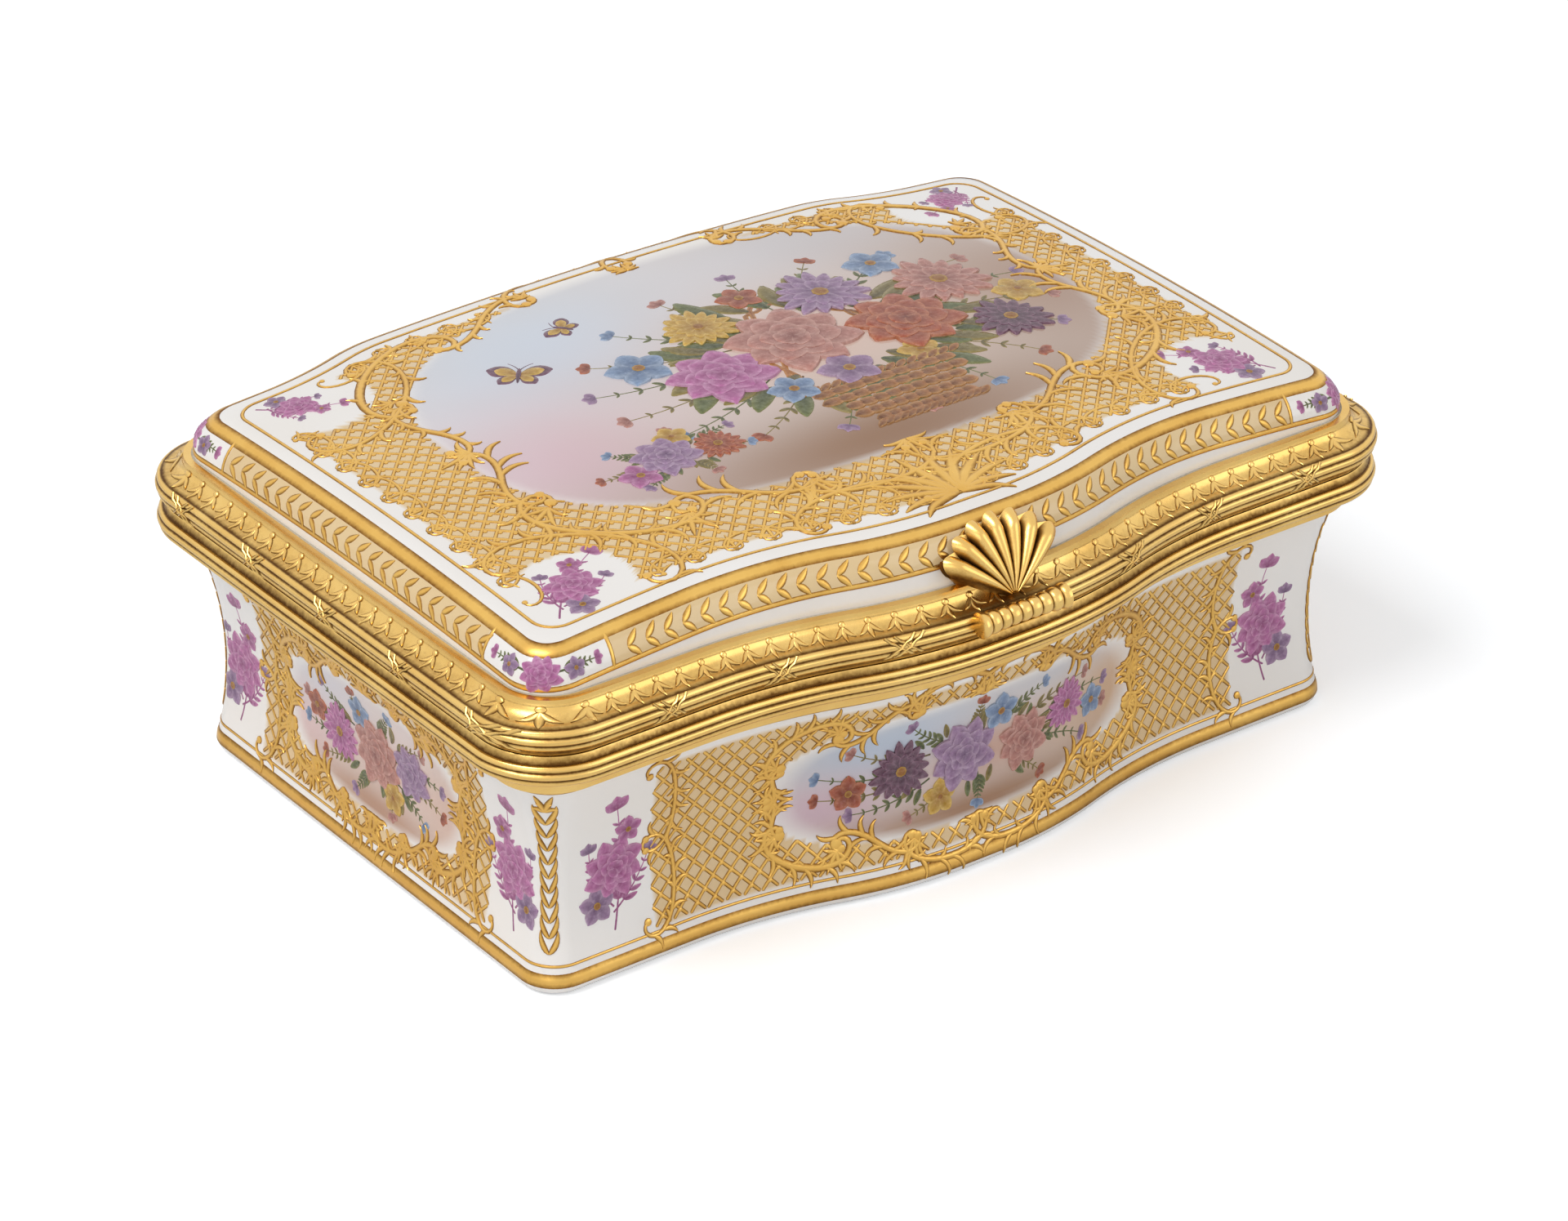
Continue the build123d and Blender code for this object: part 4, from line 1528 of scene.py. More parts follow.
@dataclass
class Mount:
    """A gilt moulding round the rim: quirk, reeded torus, fillet, cavetto, lip and plate."""

    finishes: Finishes
    plan: Plan
    node: str
    body: Body
    parting: float
    way: int
    height: float
    plate_inset: float
    quirk: float = 0.75
    torus_inset: float = 0.45
    torus_low: float = 0.45
    torus_rise: float = 1.9
    fillet_inset: float = 0.9
    lip_outer: float = 2.3
    lip_inner: float = 2.9
    plate: float = 0.7
    pocket_inset: float = 2.2
    pocket_height: float = 3.2
    reeds: int = 3
    reed_depth: float = 0.14
    edge: float = 0.06
    leaf_tips: int = 120
    tips_over: float = 3.95
    ribbon_over: float = 1.12
    ribbon_half: complex = 1.1 + 0.98j
    hinge_clear: float = 1.5

    def torus(self, share: Array) -> tuple[Array, Array, Array]:
        """Section of the torus, from the parting side to the fillet.

        The share runs over an arc whose sagitta is the torus inset, and each reed sinks the arc by
        its depth times the fourth power of the cosine at the groove.

        Args:
            share: Places on the arc, from 0 to 1.

        Returns:
            Inset, rise from the parting, and recess of each point, which lays painted shade and dirt in the
            grooves.
        """
        half = self.torus_rise / 2
        radius = (half**2 + self.torus_inset**2) / (2 * self.torus_inset)
        angle = (2 * share - 1) * math.asin(half / radius)
        groove = np.cos(np.pi * self.reeds * share) ** 4 * self.reed_depth
        inset = radius - (radius - groove) * np.cos(angle)
        rise = self.torus_low + half + (radius - groove) * np.sin(angle)
        return inset, rise, groove / self.reed_depth

    def profile(self) -> tuple[Array, Array, Array]:
        """The whole section, closed on itself.

        The hinge's pocket ends at a pair of points on the hollow, just under and over its height.

        Returns:
            Insets, rises and recesses of its points.
        """
        inset, rise, recess = self.torus(np.linspace(0, 1, 46))
        # These recesses lay painted shade and dirt on the mount: the plate and the quirk are darker, and the
        # hollow darkens towards its foot.
        low = [(self.plate_inset, 0, 0.2), (self.lip_inner, 0, 0.2), (self.quirk + self.edge, 0, 0.2),
               (self.quirk, self.edge, 0.5)]
        run = self.lip_outer - self.fillet_inset
        fillet = self.torus_low + self.torus_rise
        climb = self.height - fillet
        hollow = [(self.fillet_inset + run * math.sin(turn), fillet + climb * (1 - math.cos(turn)),
                   0.45 * math.cos(turn)) for turn in np.linspace(0, math.pi / 2, 12)]
        shelf = self.pocket_height
        upper = [point for point in hollow if point[1] > shelf + 0.03]
        lower = [point for point in hollow if point[1] < shelf - 0.03]
        share = (shelf - lower[-1][1]) / (upper[0][1] - lower[-1][1])
        cut = lower[-1][0] + share * (upper[0][0] - lower[-1][0])
        ledge = [(cut, shelf - 0.005, 0.4), (cut, shelf + 0.005, 0.4)]
        close = [(self.lip_outer + self.edge, self.height, 0), (self.lip_inner, self.height, 0.1),
                 (self.lip_inner, self.plate, 0.5), (self.plate_inset, self.plate, 0.3)]
        rows = low + list(zip(inset, rise, recess)) + lower + ledge + upper + close
        insets, rises, recesses = np.array(rows).T
        return insets, rises, recesses

    def build(self) -> None:
        """Carries the section round the plan, and leaves the hinge's pocket open at the back."""
        inset, rise, recess = self.profile()
        grid = stacked(self.plan, list(zip(inset, self.parting + self.way * rise)))
        at_hinge = (np.abs(grid[..., 0]) < self.plan.hinge_half) & (grid[..., 1] > 0)
        cut = at_hinge & (rise < self.pocket_height)[:, None]
        limit = self.plan.back_line - self.pocket_inset
        grid[..., 1] = np.where(cut, np.minimum(grid[..., 1], limit), grid[..., 1])
        draft = MeshDraft()
        draft.add(grid, wrap_rows=True, recess=np.broadcast_to(recess[:, None], grid.shape[:2]))
        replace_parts(draft.build(self.node + "_moulding", self.body, self.finishes.mount), self.node)

    def chase(self) -> None:
        """Chases a row of leaf tips up the hollow, and crossed ribbons over the reeds at each fifth."""
        inset, rise, _ = self.profile()
        face = slice(4, int(np.argmax(rise > self.height - 0.01)) + 1)
        skin = ProfileSkin(self.plan, inset[face], self.parting + self.way * rise[face])
        tool = Gilder(skin.place, thick=0.5, height=0.12)
        for number in range(self.leaf_tips):
            walked = self.plan.whole * (number + 0.5) / self.leaf_tips
            if abs(walked - self.plan.whole / 2) <= self.plan.hinge_half + self.hinge_clear:
                continue
            for turn in (-0.5, 0, 0.5):
                root = complex(walked, self.tips_over)
                tool.leaf(root, -math.pi / 2 + turn, 1.5 - 0.4 * abs(turn), turn, 1.1)
            tool.dot(complex(walked, self.tips_over + 0.2), 0.3, 0.16)
            if number % 5 == 0:
                self._ribbons(tool, walked)
        tool.make(self.node + "_chasing", self.body, self.finishes.mount)

    def _ribbons(self, tool: Gilder, walked: float) -> None:
        """Two pairs of lines that cross over the moulding at a place walked to."""
        band = np.linspace(-1, 1, 7)
        for tilt in (-1, 1):
            for shift in (-0.35, 0.35):
                along = walked + tilt * (self.ribbon_half.real * band + shift)
                tool.line(along + 1j * (self.ribbon_over + self.ribbon_half.imag * band), 0.3, 0.16)


def oval_level(places: Track, half: complex) -> Array:
    """How far out places lie in an oval: the sum of both shares to the power 2.6, and its root."""
    shares = np.abs(places.real / half.real) ** 2.6 + np.abs(places.imag / half.imag) ** 2.6
    return shares ** (1 / 2.6)


@dataclass(frozen=True)
class Wash:
    """A soft wash of colour inside an oval, laid on in a few broad brush marks."""

    centre: complex
    half: complex
    tones: tuple[str, ...]
    soft: float = 0.85
    ground: Colour = tint("ece2dc")
    marks: tuple[tuple[float, float, float, float], ...] = (
        (-0.45, 0.5, 0.62, 0.72), (0.5, 0.75, 0.5, 0.45), (-0.75, -0.3, 0.35, 0.5),
        (0.85, -0.1, 0.42, 0.75), (0.1, -0.05, 0.45, 0.5), (0.0, -0.85, 0.8, 0.36))

    def lay(self, colours: Array, places: Track) -> Array:
        """Lays the wash over colours.

        Each tone's mark has its place across and up and its reach across and up, all in shares of
        the half sizes, and fades as the exponential of minus its squared distance. The wash's own
        rim fades out over the soft distance.

        Args:
            colours: What lies there already.
            places: Places on the skin, of the same shape.

        Returns:
            The colours with the wash.
        """
        local = places - self.centre
        tone = np.broadcast_to(np.array(self.ground), colours.shape)
        for (across, up, wide, high), code in zip(self.marks, self.tones):
            far = ((local.real / self.half.real - across) / wide) ** 2
            far = far + ((local.imag / self.half.imag - up) / high) ** 2
            tone = blend_colours(tone, np.array(tint(code)), np.exp(-far))
        share = (1 - oval_level(local, self.half)) * self.half.imag / self.soft
        return blend_colours(colours, tone, np.clip(share, 0, 1))


@dataclass
class PorcelainBox:
    """The porcelain box, inside and out."""

    finishes: Finishes
    wall: WallSkin
    ground: Callable[[Track], Array]
    rim: float = 21.55
    cavity_inset: float = 7.0
    floor: float = 2.8
    cavity_fillet: float = 1.6
    wall_rings: int = 44
    bend_rings: int = 5

    def build(self) -> None:
        """Stacks rings from the middle of the underside, out, up, over the rim and down inside."""
        plan = self.wall.plan
        toe = self.wall.foot_round
        turns = quarter(self.bend_rings)
        profile = [(self.wall.foot_inset + toe, 0.0)]
        profile += [(self.wall.foot_inset + toe * (1 - math.sin(turn)), toe * (1 - math.cos(turn)))
                    for turn in turns]
        heights = np.linspace(toe, self.wall.lip_end, self.wall_rings)
        profile += list(zip(self.wall.inset(heights), heights))
        outside = len(profile)
        profile += [(self.wall.seat_inset, self.rim), (self.cavity_inset, self.rim)]
        inner = self.cavity_inset + self.cavity_fillet
        bend = self.floor + self.cavity_fillet
        profile += [(self.cavity_inset, height) for height in np.linspace(self.rim, bend, 8)[1:]]
        profile += [(inner - self.cavity_fillet * math.cos(turn), bend - self.cavity_fillet * math.sin(turn))
                    for turn in turns]
        profile.append((inner, self.floor))
        rings = stacked(plan, profile)
        under = shrunk(rings[0], np.linspace(0.12, 1, 8, endpoint=False))
        cavity = shrunk(rings[-1], np.linspace(1, 0.08, 12)[1:])
        grid = np.concatenate([under, rings, cavity])
        poles = np.array([[0, 0, 0], [0, 0, self.floor]], float)
        colours = np.ones(grid.shape)
        painted = slice(len(under), len(under) + outside)
        colours[painted] = self.ground(plan.walked(2)[None, :] + 1j * grid[painted, :, 2])
        draft = MeshDraft()
        draft.add(grid, poles, wash=colours)
        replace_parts(draft.build("porcelain_box", Body.BASE, self.finishes.glaze), "body_shell")


@dataclass
class PorcelainLid:
    """The porcelain lid, inside and out."""

    finishes: Finishes
    skin: LidSkin
    ground: Callable[[Track], Array]
    seat: float = 23.45
    band: Point = (0.2, 2.9)
    cream: Colour = tint("eed3a2")
    hollow_inset: float = 5.7
    hollow_fillet: float = 1.2
    top_rings: int = 64
    shoulder_rings: int = 12

    def build(self) -> None:
        """Stacks rings from the crown, over the shoulder, down the wall and up the hollow inside."""
        skin, plan = self.skin, self.skin.plan
        top = shrunk(stacked(plan, [(skin.seat_inset + skin.shoulder, 0.0)])[0],
                     np.linspace(0.012, 1, self.top_rings) ** 0.75)
        top[..., 2] = skin.dome(top[..., :2])
        turns = quarter(self.shoulder_rings)[::-1]
        depths = skin.shoulder * (1 - np.cos(turns))
        shoulder = stacked(plan, [(skin.seat_inset + depth, 0.0) for depth in depths])
        shoulder[..., 2] = skin.dome(shoulder[..., :2]) - skin.drop(depths)[:, None]
        wall = stacked(plan, [(skin.seat_inset, 0.0), (skin.seat_inset, self.seat)])
        wall[0, :, 2] = skin.dome(wall[0, :, :2]) - skin.shoulder
        inner = stacked(plan, [(self.hollow_inset, self.seat)] * 2)
        ceiling = skin.dome(inner[1, :, :2]) - skin.thickness
        inner[1, :, 2] = ceiling - self.hollow_fillet
        bends = quarter(4)
        curve = stacked(plan, [(self.hollow_inset + self.hollow_fillet * (1 - math.cos(bend)), 0.0)
                               for bend in bends])
        curve[..., 2] = ceiling - self.hollow_fillet * (1 - np.sin(bends))[:, None]
        under = shrunk(curve[-1], np.linspace(0.985, 0.05, 24))
        under[..., 2] = skin.dome(under[..., :2]) - skin.thickness
        grid = np.concatenate([top, shoulder, wall, inner, curve, under])
        poles = np.array([[0, 0, skin.crown], [0, 0, skin.crown - skin.thickness]])
        colours = np.ones(grid.shape)
        colours[:len(top)] = self.ground(top[..., 0] + 1j * top[..., 1])
        climb = skin.shoulder * turns[:, None]
        banded = (climb > self.band[0]) & (climb < self.band[1]) & ~skin.reserved(plan.walked(2))
        colours[len(top):len(top) + len(turns)][banded] = np.array(self.cream)
        draft = MeshDraft()
        draft.add(grid, poles, wash=colours)
        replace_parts(draft.build("porcelain_lid", Body.LID, self.finishes.glaze), "lid_panel")


LID_BOUQUET = Bouquet(20.6 + 13.6j, (
    Bloom(Flower.ROSE, -2.2 + 1.4j, 5.2, Palette.ROSE),
    Bloom(Flower.ROSE, 7.2 - 0.8j, 4.6, Palette.IRON),
    Bloom(Flower.ROSE, -10.4 - 0.6j, 4.2, Palette.PUCE),
    Bloom(Flower.ASTER, 4.6 + 7.0j, 3.8, Palette.LILAC),
    Bloom(Flower.ASTER, 14.0 + 3.8j, 4.0, Palette.ROSE),
    Bloom(Flower.ASTER, -7.0 + 7.4j, 3.0, Palette.YELLOW),
    Bloom(Flower.BLOSSOM, -14.8 + 4.4j, 2.6, Palette.BLUE),
    Bloom(Flower.BLOSSOM, -1.6 - 5.2j, 2.5, Palette.LILAC),
    Bloom(Flower.ASTER, 14.6 - 4.8j, 3.2, Palette.PLUM),
    Bloom(Flower.BLOSSOM, 18.4 - 0.8j, 2.1, Palette.YELLOW),
    Bloom(Flower.BLOSSOM, 11.4 + 9.4j, 2.3, Palette.BLUE),
    Bloom(Flower.BLOSSOM, -7.2 - 5.6j, 2.1, Palette.BLUE),
    Bloom(Flower.BLOSSOM, 5.0 - 5.6j, 1.9, Palette.YELLOW),
    Bloom(Flower.BLOSSOM, -1.2 + 10.0j, 1.9, Palette.IRON),
), leaves=46, sprigs=18, seed=3, basket=-10.4j)

LOOSE_FLOWERS = Bouquet(6.4 + 3.6j, (
    Bloom(Flower.ROSE, -0.6 + 0.2j, 2.7, Palette.LILAC),
    Bloom(Flower.ASTER, 3.6 - 0.6j, 2.0, Palette.IRON),
    Bloom(Flower.BLOSSOM, -3.8 - 1.0j, 1.7, Palette.PUCE),
    Bloom(Flower.BLOSSOM, 1.4 + 2.4j, 1.5, Palette.YELLOW),
), leaves=14, sprigs=7, seed=11)

FRONT_BOUQUET = Bouquet(14.5 + 4.3j, (
    Bloom(Flower.ROSE, -1.4 + 0.2j, 3.0, Palette.LILAC),
    Bloom(Flower.ROSE, 4.6 - 0.6j, 2.5, Palette.ROSE),
    Bloom(Flower.ASTER, -7.2 + 0.4j, 2.5, Palette.PLUM),
    Bloom(Flower.ASTER, 9.4 + 0.6j, 2.1, Palette.PUCE),
    Bloom(Flower.BLOSSOM, -3.6 - 2.9j, 1.5, Palette.YELLOW),
    Bloom(Flower.BLOSSOM, 2.0 + 2.9j, 1.6, Palette.BLUE),
    Bloom(Flower.BLOSSOM, -11.6 - 0.6j, 1.5, Palette.IRON),
    Bloom(Flower.BLOSSOM, 12.8 - 0.6j, 1.4, Palette.BLUE),
), leaves=22, sprigs=14, seed=5)

SIDE_BOUQUET = Bouquet(9.5 + 4.3j, (
    Bloom(Flower.ROSE, 0.4 + 0.1j, 2.9, Palette.ROSE),
    Bloom(Flower.ASTER, -4.8 - 0.3j, 2.3, Palette.PUCE),
    Bloom(Flower.ROSE, 5.2 + 0.6j, 2.3, Palette.LILAC),
    Bloom(Flower.BLOSSOM, -1.6 + 2.9j, 1.4, Palette.BLUE),
    Bloom(Flower.BLOSSOM, 2.6 - 2.7j, 1.4, Palette.YELLOW),
    Bloom(Flower.BLOSSOM, -8.0 + 0.6j, 1.3, Palette.IRON),
), leaves=18, sprigs=12, seed=7)

LID_TONES = ("d9e6f8", "dcdde6", "e6cbd8", "b08f7b", "e4c8bb", "9a7150")
WALL_TONES = ("c3d4ea", "d6dce8", "dcc2d2", "d9b796", "d6b2a4", "a87f60")
SIDE_TONES = ("e3e3ee", "eee3e5", "ead0d3", "e3c5b8", "e8c7c0", "bd947c")


def paced(points: Array, count: int) -> tuple[Track, Array]:
    """Walks a closed outline at even steps.

    Args:
        points: The outline.
        count: Number of steps.

    Returns:
        The place and the heading at each step.
    """
    loop = points[:, 0] + 1j * points[:, 1]
    closed = np.append(loop, loop[0])
    walked = np.concatenate([[0], np.cumsum(np.abs(np.diff(closed)))])
    place = np.linspace(0, walked[-1], count, endpoint=False)
    even = np.interp(place, walked, closed.real) + 1j * np.interp(place, walked, closed.imag)
    return even, np.angle(np.roll(even, -1) - even)


def inside(points: Track, region: Track) -> Mask:
    """Whether points lie inside a region, by counting the edges crossed on the way right.

    Args:
        points: The points.
        region: Corners of the region, in order.

    Returns:
        For each point, whether it lies inside.
    """
    start, end = region, np.roll(region, -1)
    spans = (start.imag > points.imag[:, None]) != (end.imag > points.imag[:, None])
    slope = (end.real - start.real) / np.where(end.imag == start.imag, 1e-9, end.imag - start.imag)
    cut = start.real + (points.imag[:, None] - start.imag) * slope
    return (spans & (points.real[:, None] < cut)).sum(1) % 2 == 1


@dataclass
class LidDecoration:
    """Gilding and painting on the lid."""

    finishes: Finishes
    skin: LidSkin
    middle: complex = 1.4 + 3.0j
    oval: complex = 27.4 + 18.4j
    cream: Colour = tint("efd5a6")
    corner: complex = 30.7 + 17.6j
    corner_half: complex = 5.0 + 4.3j
    line_inset: float = 6.4
    border_inset: float = 7.4
    husks: int = 150
    husk_climb: float = 1.38
    band_lines: Point = (0.3, 3.1)
    posy_climb: float = 1.42

    def spray_level(self, flat: Track) -> Array:
        """How far out places lie in the nearest corner's oval: the sum of both shares squared."""
        folded = np.abs(flat.real) + 1j * np.abs(flat.imag) - self.corner
        return (folded.real / self.corner_half.real) ** 2 + (folded.imag / self.corner_half.imag) ** 2

    def keep_net(self, points: Track) -> Mask:
        """Whether places lie between cartouche, border and corner sprays.

        Args:
            points: Places on the lid, in any shape.

        Returns:
            The answers, in the same shape.
        """
        flat = points.ravel()
        ring = self.skin.plan.ring(self.border_inset + 0.5).points
        kept = inside(flat, ring[:, 0] + 1j * ring[:, 1]) & (self.spray_level(flat) > 1)
        kept &= oval_level(flat - self.middle, self.oval) > 1.04
        return kept.reshape(points.shape)

    def ground(self, places: Track) -> Array:
        """Colour of the porcelain: cream under the net, the painted wash in the cartouche."""
        colours = np.where(self.keep_net(places)[..., None], np.array(self.cream), np.ones(3))
        return Wash(self.middle, self.oval * 1.08, LID_TONES, soft=1.4).lay(colours, places)

    def _border(self, gilder: Gilder) -> None:
        """A line and a row of small scrolls round the dome's edge, clear of sprays and cartouche.

        Args:
            gilder: The brush, at the middle of the lid.
        """
        plan = self.skin.plan
        even, heading = paced(plan.ring(self.line_inset, 3).points, 700)
        gilder.loop(even, 0.35, 0.08, np.exp(1j * heading))
        small = replace(gilder, thick=0.4, height=0.09)
        even, heading = paced(plan.ring(self.border_inset, 3).points, 70)
        for place, way, after in zip(even, heading, np.roll(even, -1)):
            if self.spray_level(place) < 1.15 or oval_level(place - self.middle, self.oval) < 1.09:
                continue
            inwards = float(way) + math.pi / 2
            small.scroll(complex(after), complex(place), Curl.C, 1.1, 2.6, 0, 1.0, 22)
            for share in (-1, 0, 1):
                small.leaf(complex(place) + 0.2 * np.exp(1j * inwards), inwards + 0.8 * share,
                           1.9 - 0.5 * abs(share), 0.6 * share)

    def _gild_top(self) -> None:
        """Gilds the border, the cartouche, the corner scrolls and the palmette, then the net."""
        gilder = Gilder(self.skin.place)
        self._border(gilder)
        for copies, leaves, length in ((Copies.NEAR_PAIR, 2.5, 2.8), (Copies.PAIR, 1.2, 1.5)):
            half = gilder.at(self.middle, copies)
            half.frame(self.oval, leaves)
            half.crown(self.oval, length)
        gilder.at(0j, Copies.FOUR).scroll(
            self.corner + share_of(self.corner_half, -1.0, 0.55),
            self.corner + share_of(self.corner_half, 0.42, -1.02), Curl.C, 1.0, 3.4, 1.8, 1.1)
        front = gilder.at(-24.0j, Copies.PAIR)
        for share in np.linspace(0.08, 1, 6):
            front.leaf(complex(0.15, 0), math.pi / 2 - 1.5 * share, 6.6 - 2.2 * share**2, -0.9 * share, 1.3)
        front.scroll(11.2 + 1.6j, 2.6 + 0.5j, Curl.C, 0.8, 3.6, 2.0, 1.2)
        gilder.make("lid_gilding", Body.LID, self.finishes.leaf)
        net = Gilder(self.skin.place)
        net.net(self.keep_net, 45.0, 1.15, 0.37)
        net.make("lid_gilt_net", Body.LID, self.finishes.leaf)

    def _dress_shoulder(self) -> None:
        """Gilds the shoulder's lines and laurel husks, then paints a posy at each corner."""
        edge = Gilder(self.skin.edge)
        walked = self.skin.plan.whole * evenly(700)
        low, high = self.band_lines
        edge.loop(walked + 1j * high, 1.35, 0.06)
        edge.loop(walked + 1j * low, 0.5, 0.06)
        for corner in self.skin.plan.corners:
            bar = self.skin.corner_reserve - 0.1 + 1j * np.linspace(low, high, 6)
            edge.at(complex(corner, 0), Copies.PAIR).line(bar, 0.4, 0.06)
        husks = replace(edge, thick=0.62, height=0.08)
        spots = self.skin.plan.whole * evenly(self.husks)
        for place in spots[~self.skin.reserved(spots)]:
            for side in (-1, 1):
                husks.leaf(complex(place, self.husk_climb + 0.06 * side), side * 0.62, 1.35, side * 0.25,
                           1.15)
        edge.make("lid_edge_gilding", Body.LID, self.finishes.leaf)
        posy = Painter(self.skin.edge)
        for corner in self.skin.plan.corners:
            pair = posy.at(complex(corner, self.posy_climb), Copies.PAIR)
            pair.sprig(0.8 + 0.1j, 0.12, 3.2, -0.2, Palette.LEAF, Palette.PUCE, 1.0)
            pair.blossom(2.3 + 0.05j, 0.8, Palette.LILAC, 0.03)
            pair.at(pair.centre).rose(0j, 1.35, Palette.PUCE, 0.03)
        posy.make("lid_corner_painting", Body.LID, self.finishes.enamel)

    def _paint(self) -> None:
        """Paints the basket, the loose flowers, two butterflies and the sprays, then the ceiling."""
        painter = Painter(self.skin.place)
        LID_BOUQUET.paint(painter.at(self.middle + (5.0 - 1.6j)))
        LOOSE_FLOWERS.paint(painter.at(self.middle + (-15.6 - 10.2j)))
        for place, heading, size in ((-17.5 + 8.0j, 0.9, 2.7), (-10.2 + 12.6j, 2.2, 1.9)):
            painter.at(self.middle).butterfly(place, heading, size, Palette.YELLOW, Palette.PLUM)
        painter.at(0j, Copies.NEAR_PAIR).spray(self.corner + (3.1 + 2.9j), -2.4, 8.8)
        painter.at(0j, Copies.PAIR).spray(self.corner + (3.4 + 2.9j), -2.5, 6.6)
        painter.make("lid_painting", Body.LID, self.finishes.enamel)
        inner = Painter(self.skin.ceiling)
        inner.spray(-13.0 + 4.0j, -0.35, 28.0)
        for place, heading in ((24 - 13j, 2.6), (-24 + 13j, -0.6), (24 + 12j, 3.6), (-24 - 13j, 0.5)):
            inner.sprig(place, heading, 8.5, 0.5, Palette.PUCE, Palette.LILAC, 2.2)
        inner.make("inner_lid_painting", Body.LID, self.finishes.enamel)

    def build(self) -> None:
        """Gilds the top, dresses the shoulder, then paints."""
        self._gild_top()
        self._dress_shoulder()
        self._paint()


@dataclass(frozen=True)
class Panel:
    """One decorated side of the box: half sizes of its cartouche, its bouquet and its sprays."""

    side: Side
    half: complex
    bouquet: Bouquet
    tones: tuple[str, ...]
    spray_place: float
    net_half_height: float = 7.0

    @property
    def net_end(self) -> float:
        """How far the net goes from the middle."""
        return self.spray_place - 3.2

    def keep_net(self, points: Track) -> Mask:
        """Whether places lie beside the cartouche, between the lines and short of the sprays."""
        near = (np.abs(points.real) < self.net_end) & (np.abs(points.imag) < self.net_half_height)
        return near & (oval_level(points, self.half) > 1.05)


@dataclass
class WallDecoration:
    """Gilding and painting on the walls."""

    finishes: Finishes
    skin: WallSkin
    height: float = 9.9
    cream: Colour = tint("edd2a4")
    panels: tuple[Panel, ...] = (
        Panel(Side.FRONT, 17.5 + 5.4j, FRONT_BOUQUET, WALL_TONES, 31.5),
        Panel(Side.RIGHT, 11.8 + 5.4j, SIDE_BOUQUET, SIDE_TONES, 18.9),
        Panel(Side.BACK, 17.5 + 5.4j, FRONT_BOUQUET, WALL_TONES, 31.5),
        Panel(Side.LEFT, 11.8 + 5.4j, SIDE_BOUQUET, SIDE_TONES, 18.9),
    )

    def centre(self, side: Side) -> complex:
        """Middle of a side on the skin."""
        return complex(self.skin.plan.middle(side), self.height)

    def ground(self, places: Track) -> Array:
        """Colour of the porcelain: cream under each net, the painted wash in each cartouche.

        Args:
            places: Distances walked and heights.

        Returns:
            Their colours.
        """
        whole = self.skin.plan.whole
        colours = np.ones((*places.shape, 3))
        for panel in self.panels:
            local = places - self.centre(panel.side)
            local = (local.real + whole / 2) % whole - whole / 2 + 1j * local.imag
            colours = np.where(panel.keep_net(local)[..., None], np.array(self.cream), colours)
            colours = Wash(0j, panel.half * 1.05, panel.tones).lay(colours, local)
        return colours

    def _dress(self, panel: Panel) -> None:
        """Gilds and paints one side.

        Args:
            panel: The side.
        """
        gilder = Gilder(self.skin.place, thick=0.55)
        centre = self.centre(panel.side)
        gilder.at(centre).net(panel.keep_net, panel.net_end + 3, 1.15, 0.34)
        around = gilder.at(centre, Copies.FOUR)
        around.frame(panel.half, 1.6)
        around.crown(panel.half, 1.8)
        end = panel.spray_place - 3.0
        around.scroll(complex(end + 0.4, 6.4), complex(end + 0.2, 0.5), Curl.C, 0.7, 3.6, 1.4)
        gilder.make(f"{panel.side.value}_gilding", Body.BASE, self.finishes.leaf)
        painter = Painter(self.skin.place)
        panel.bouquet.paint(painter.at(centre))
        painter.at(centre, Copies.PAIR).spray(complex(panel.spray_place + 0.3, -6.0), 1.62, 10.5)
        painter.make(f"{panel.side.value}_painting", Body.BASE, self.finishes.enamel)

    def build(self) -> None:
        """Dresses each side, then the corners and the lines at the foot and under the mount."""
        for panel in self.panels:
            self._dress(panel)
        bands = Gilder(self.skin.place)
        for corner in self.skin.plan.corners:
            column = bands.at(complex(corner, self.height), Copies.PAIR)
            for up in np.arange(-6.4, 6.0, 1.25):
                column.leaf(complex(0.05, up), 0.75, 2.0, 0.8)
            column.fan(complex(0.0, 6.1), 1.2, 1.6, 3, 1.2)
        walked = self.skin.plan.whole * evenly(900)
        for height, width in ((1.35, 1.3), (2.5, 0.28), (17.95, 0.5)):
            bands.loop(walked + 1j * height, width, 0.06)
        bands.make("foot_and_corner_gilding", Body.BASE, self.finishes.leaf)


@dataclass(frozen=True)
class FlatSkin:
    """A flat face, by its middle and the directions along it and up it."""

    middle: Spot
    along: Spot
    up: Spot

    def place(self, points: Array) -> Array:
        """Puts (along, up, lift) on the face. The lift goes by the cross product of both."""
        axes = np.array([self.along, self.up, np.cross(self.along, self.up)])
        return np.array(self.middle) + points @ axes


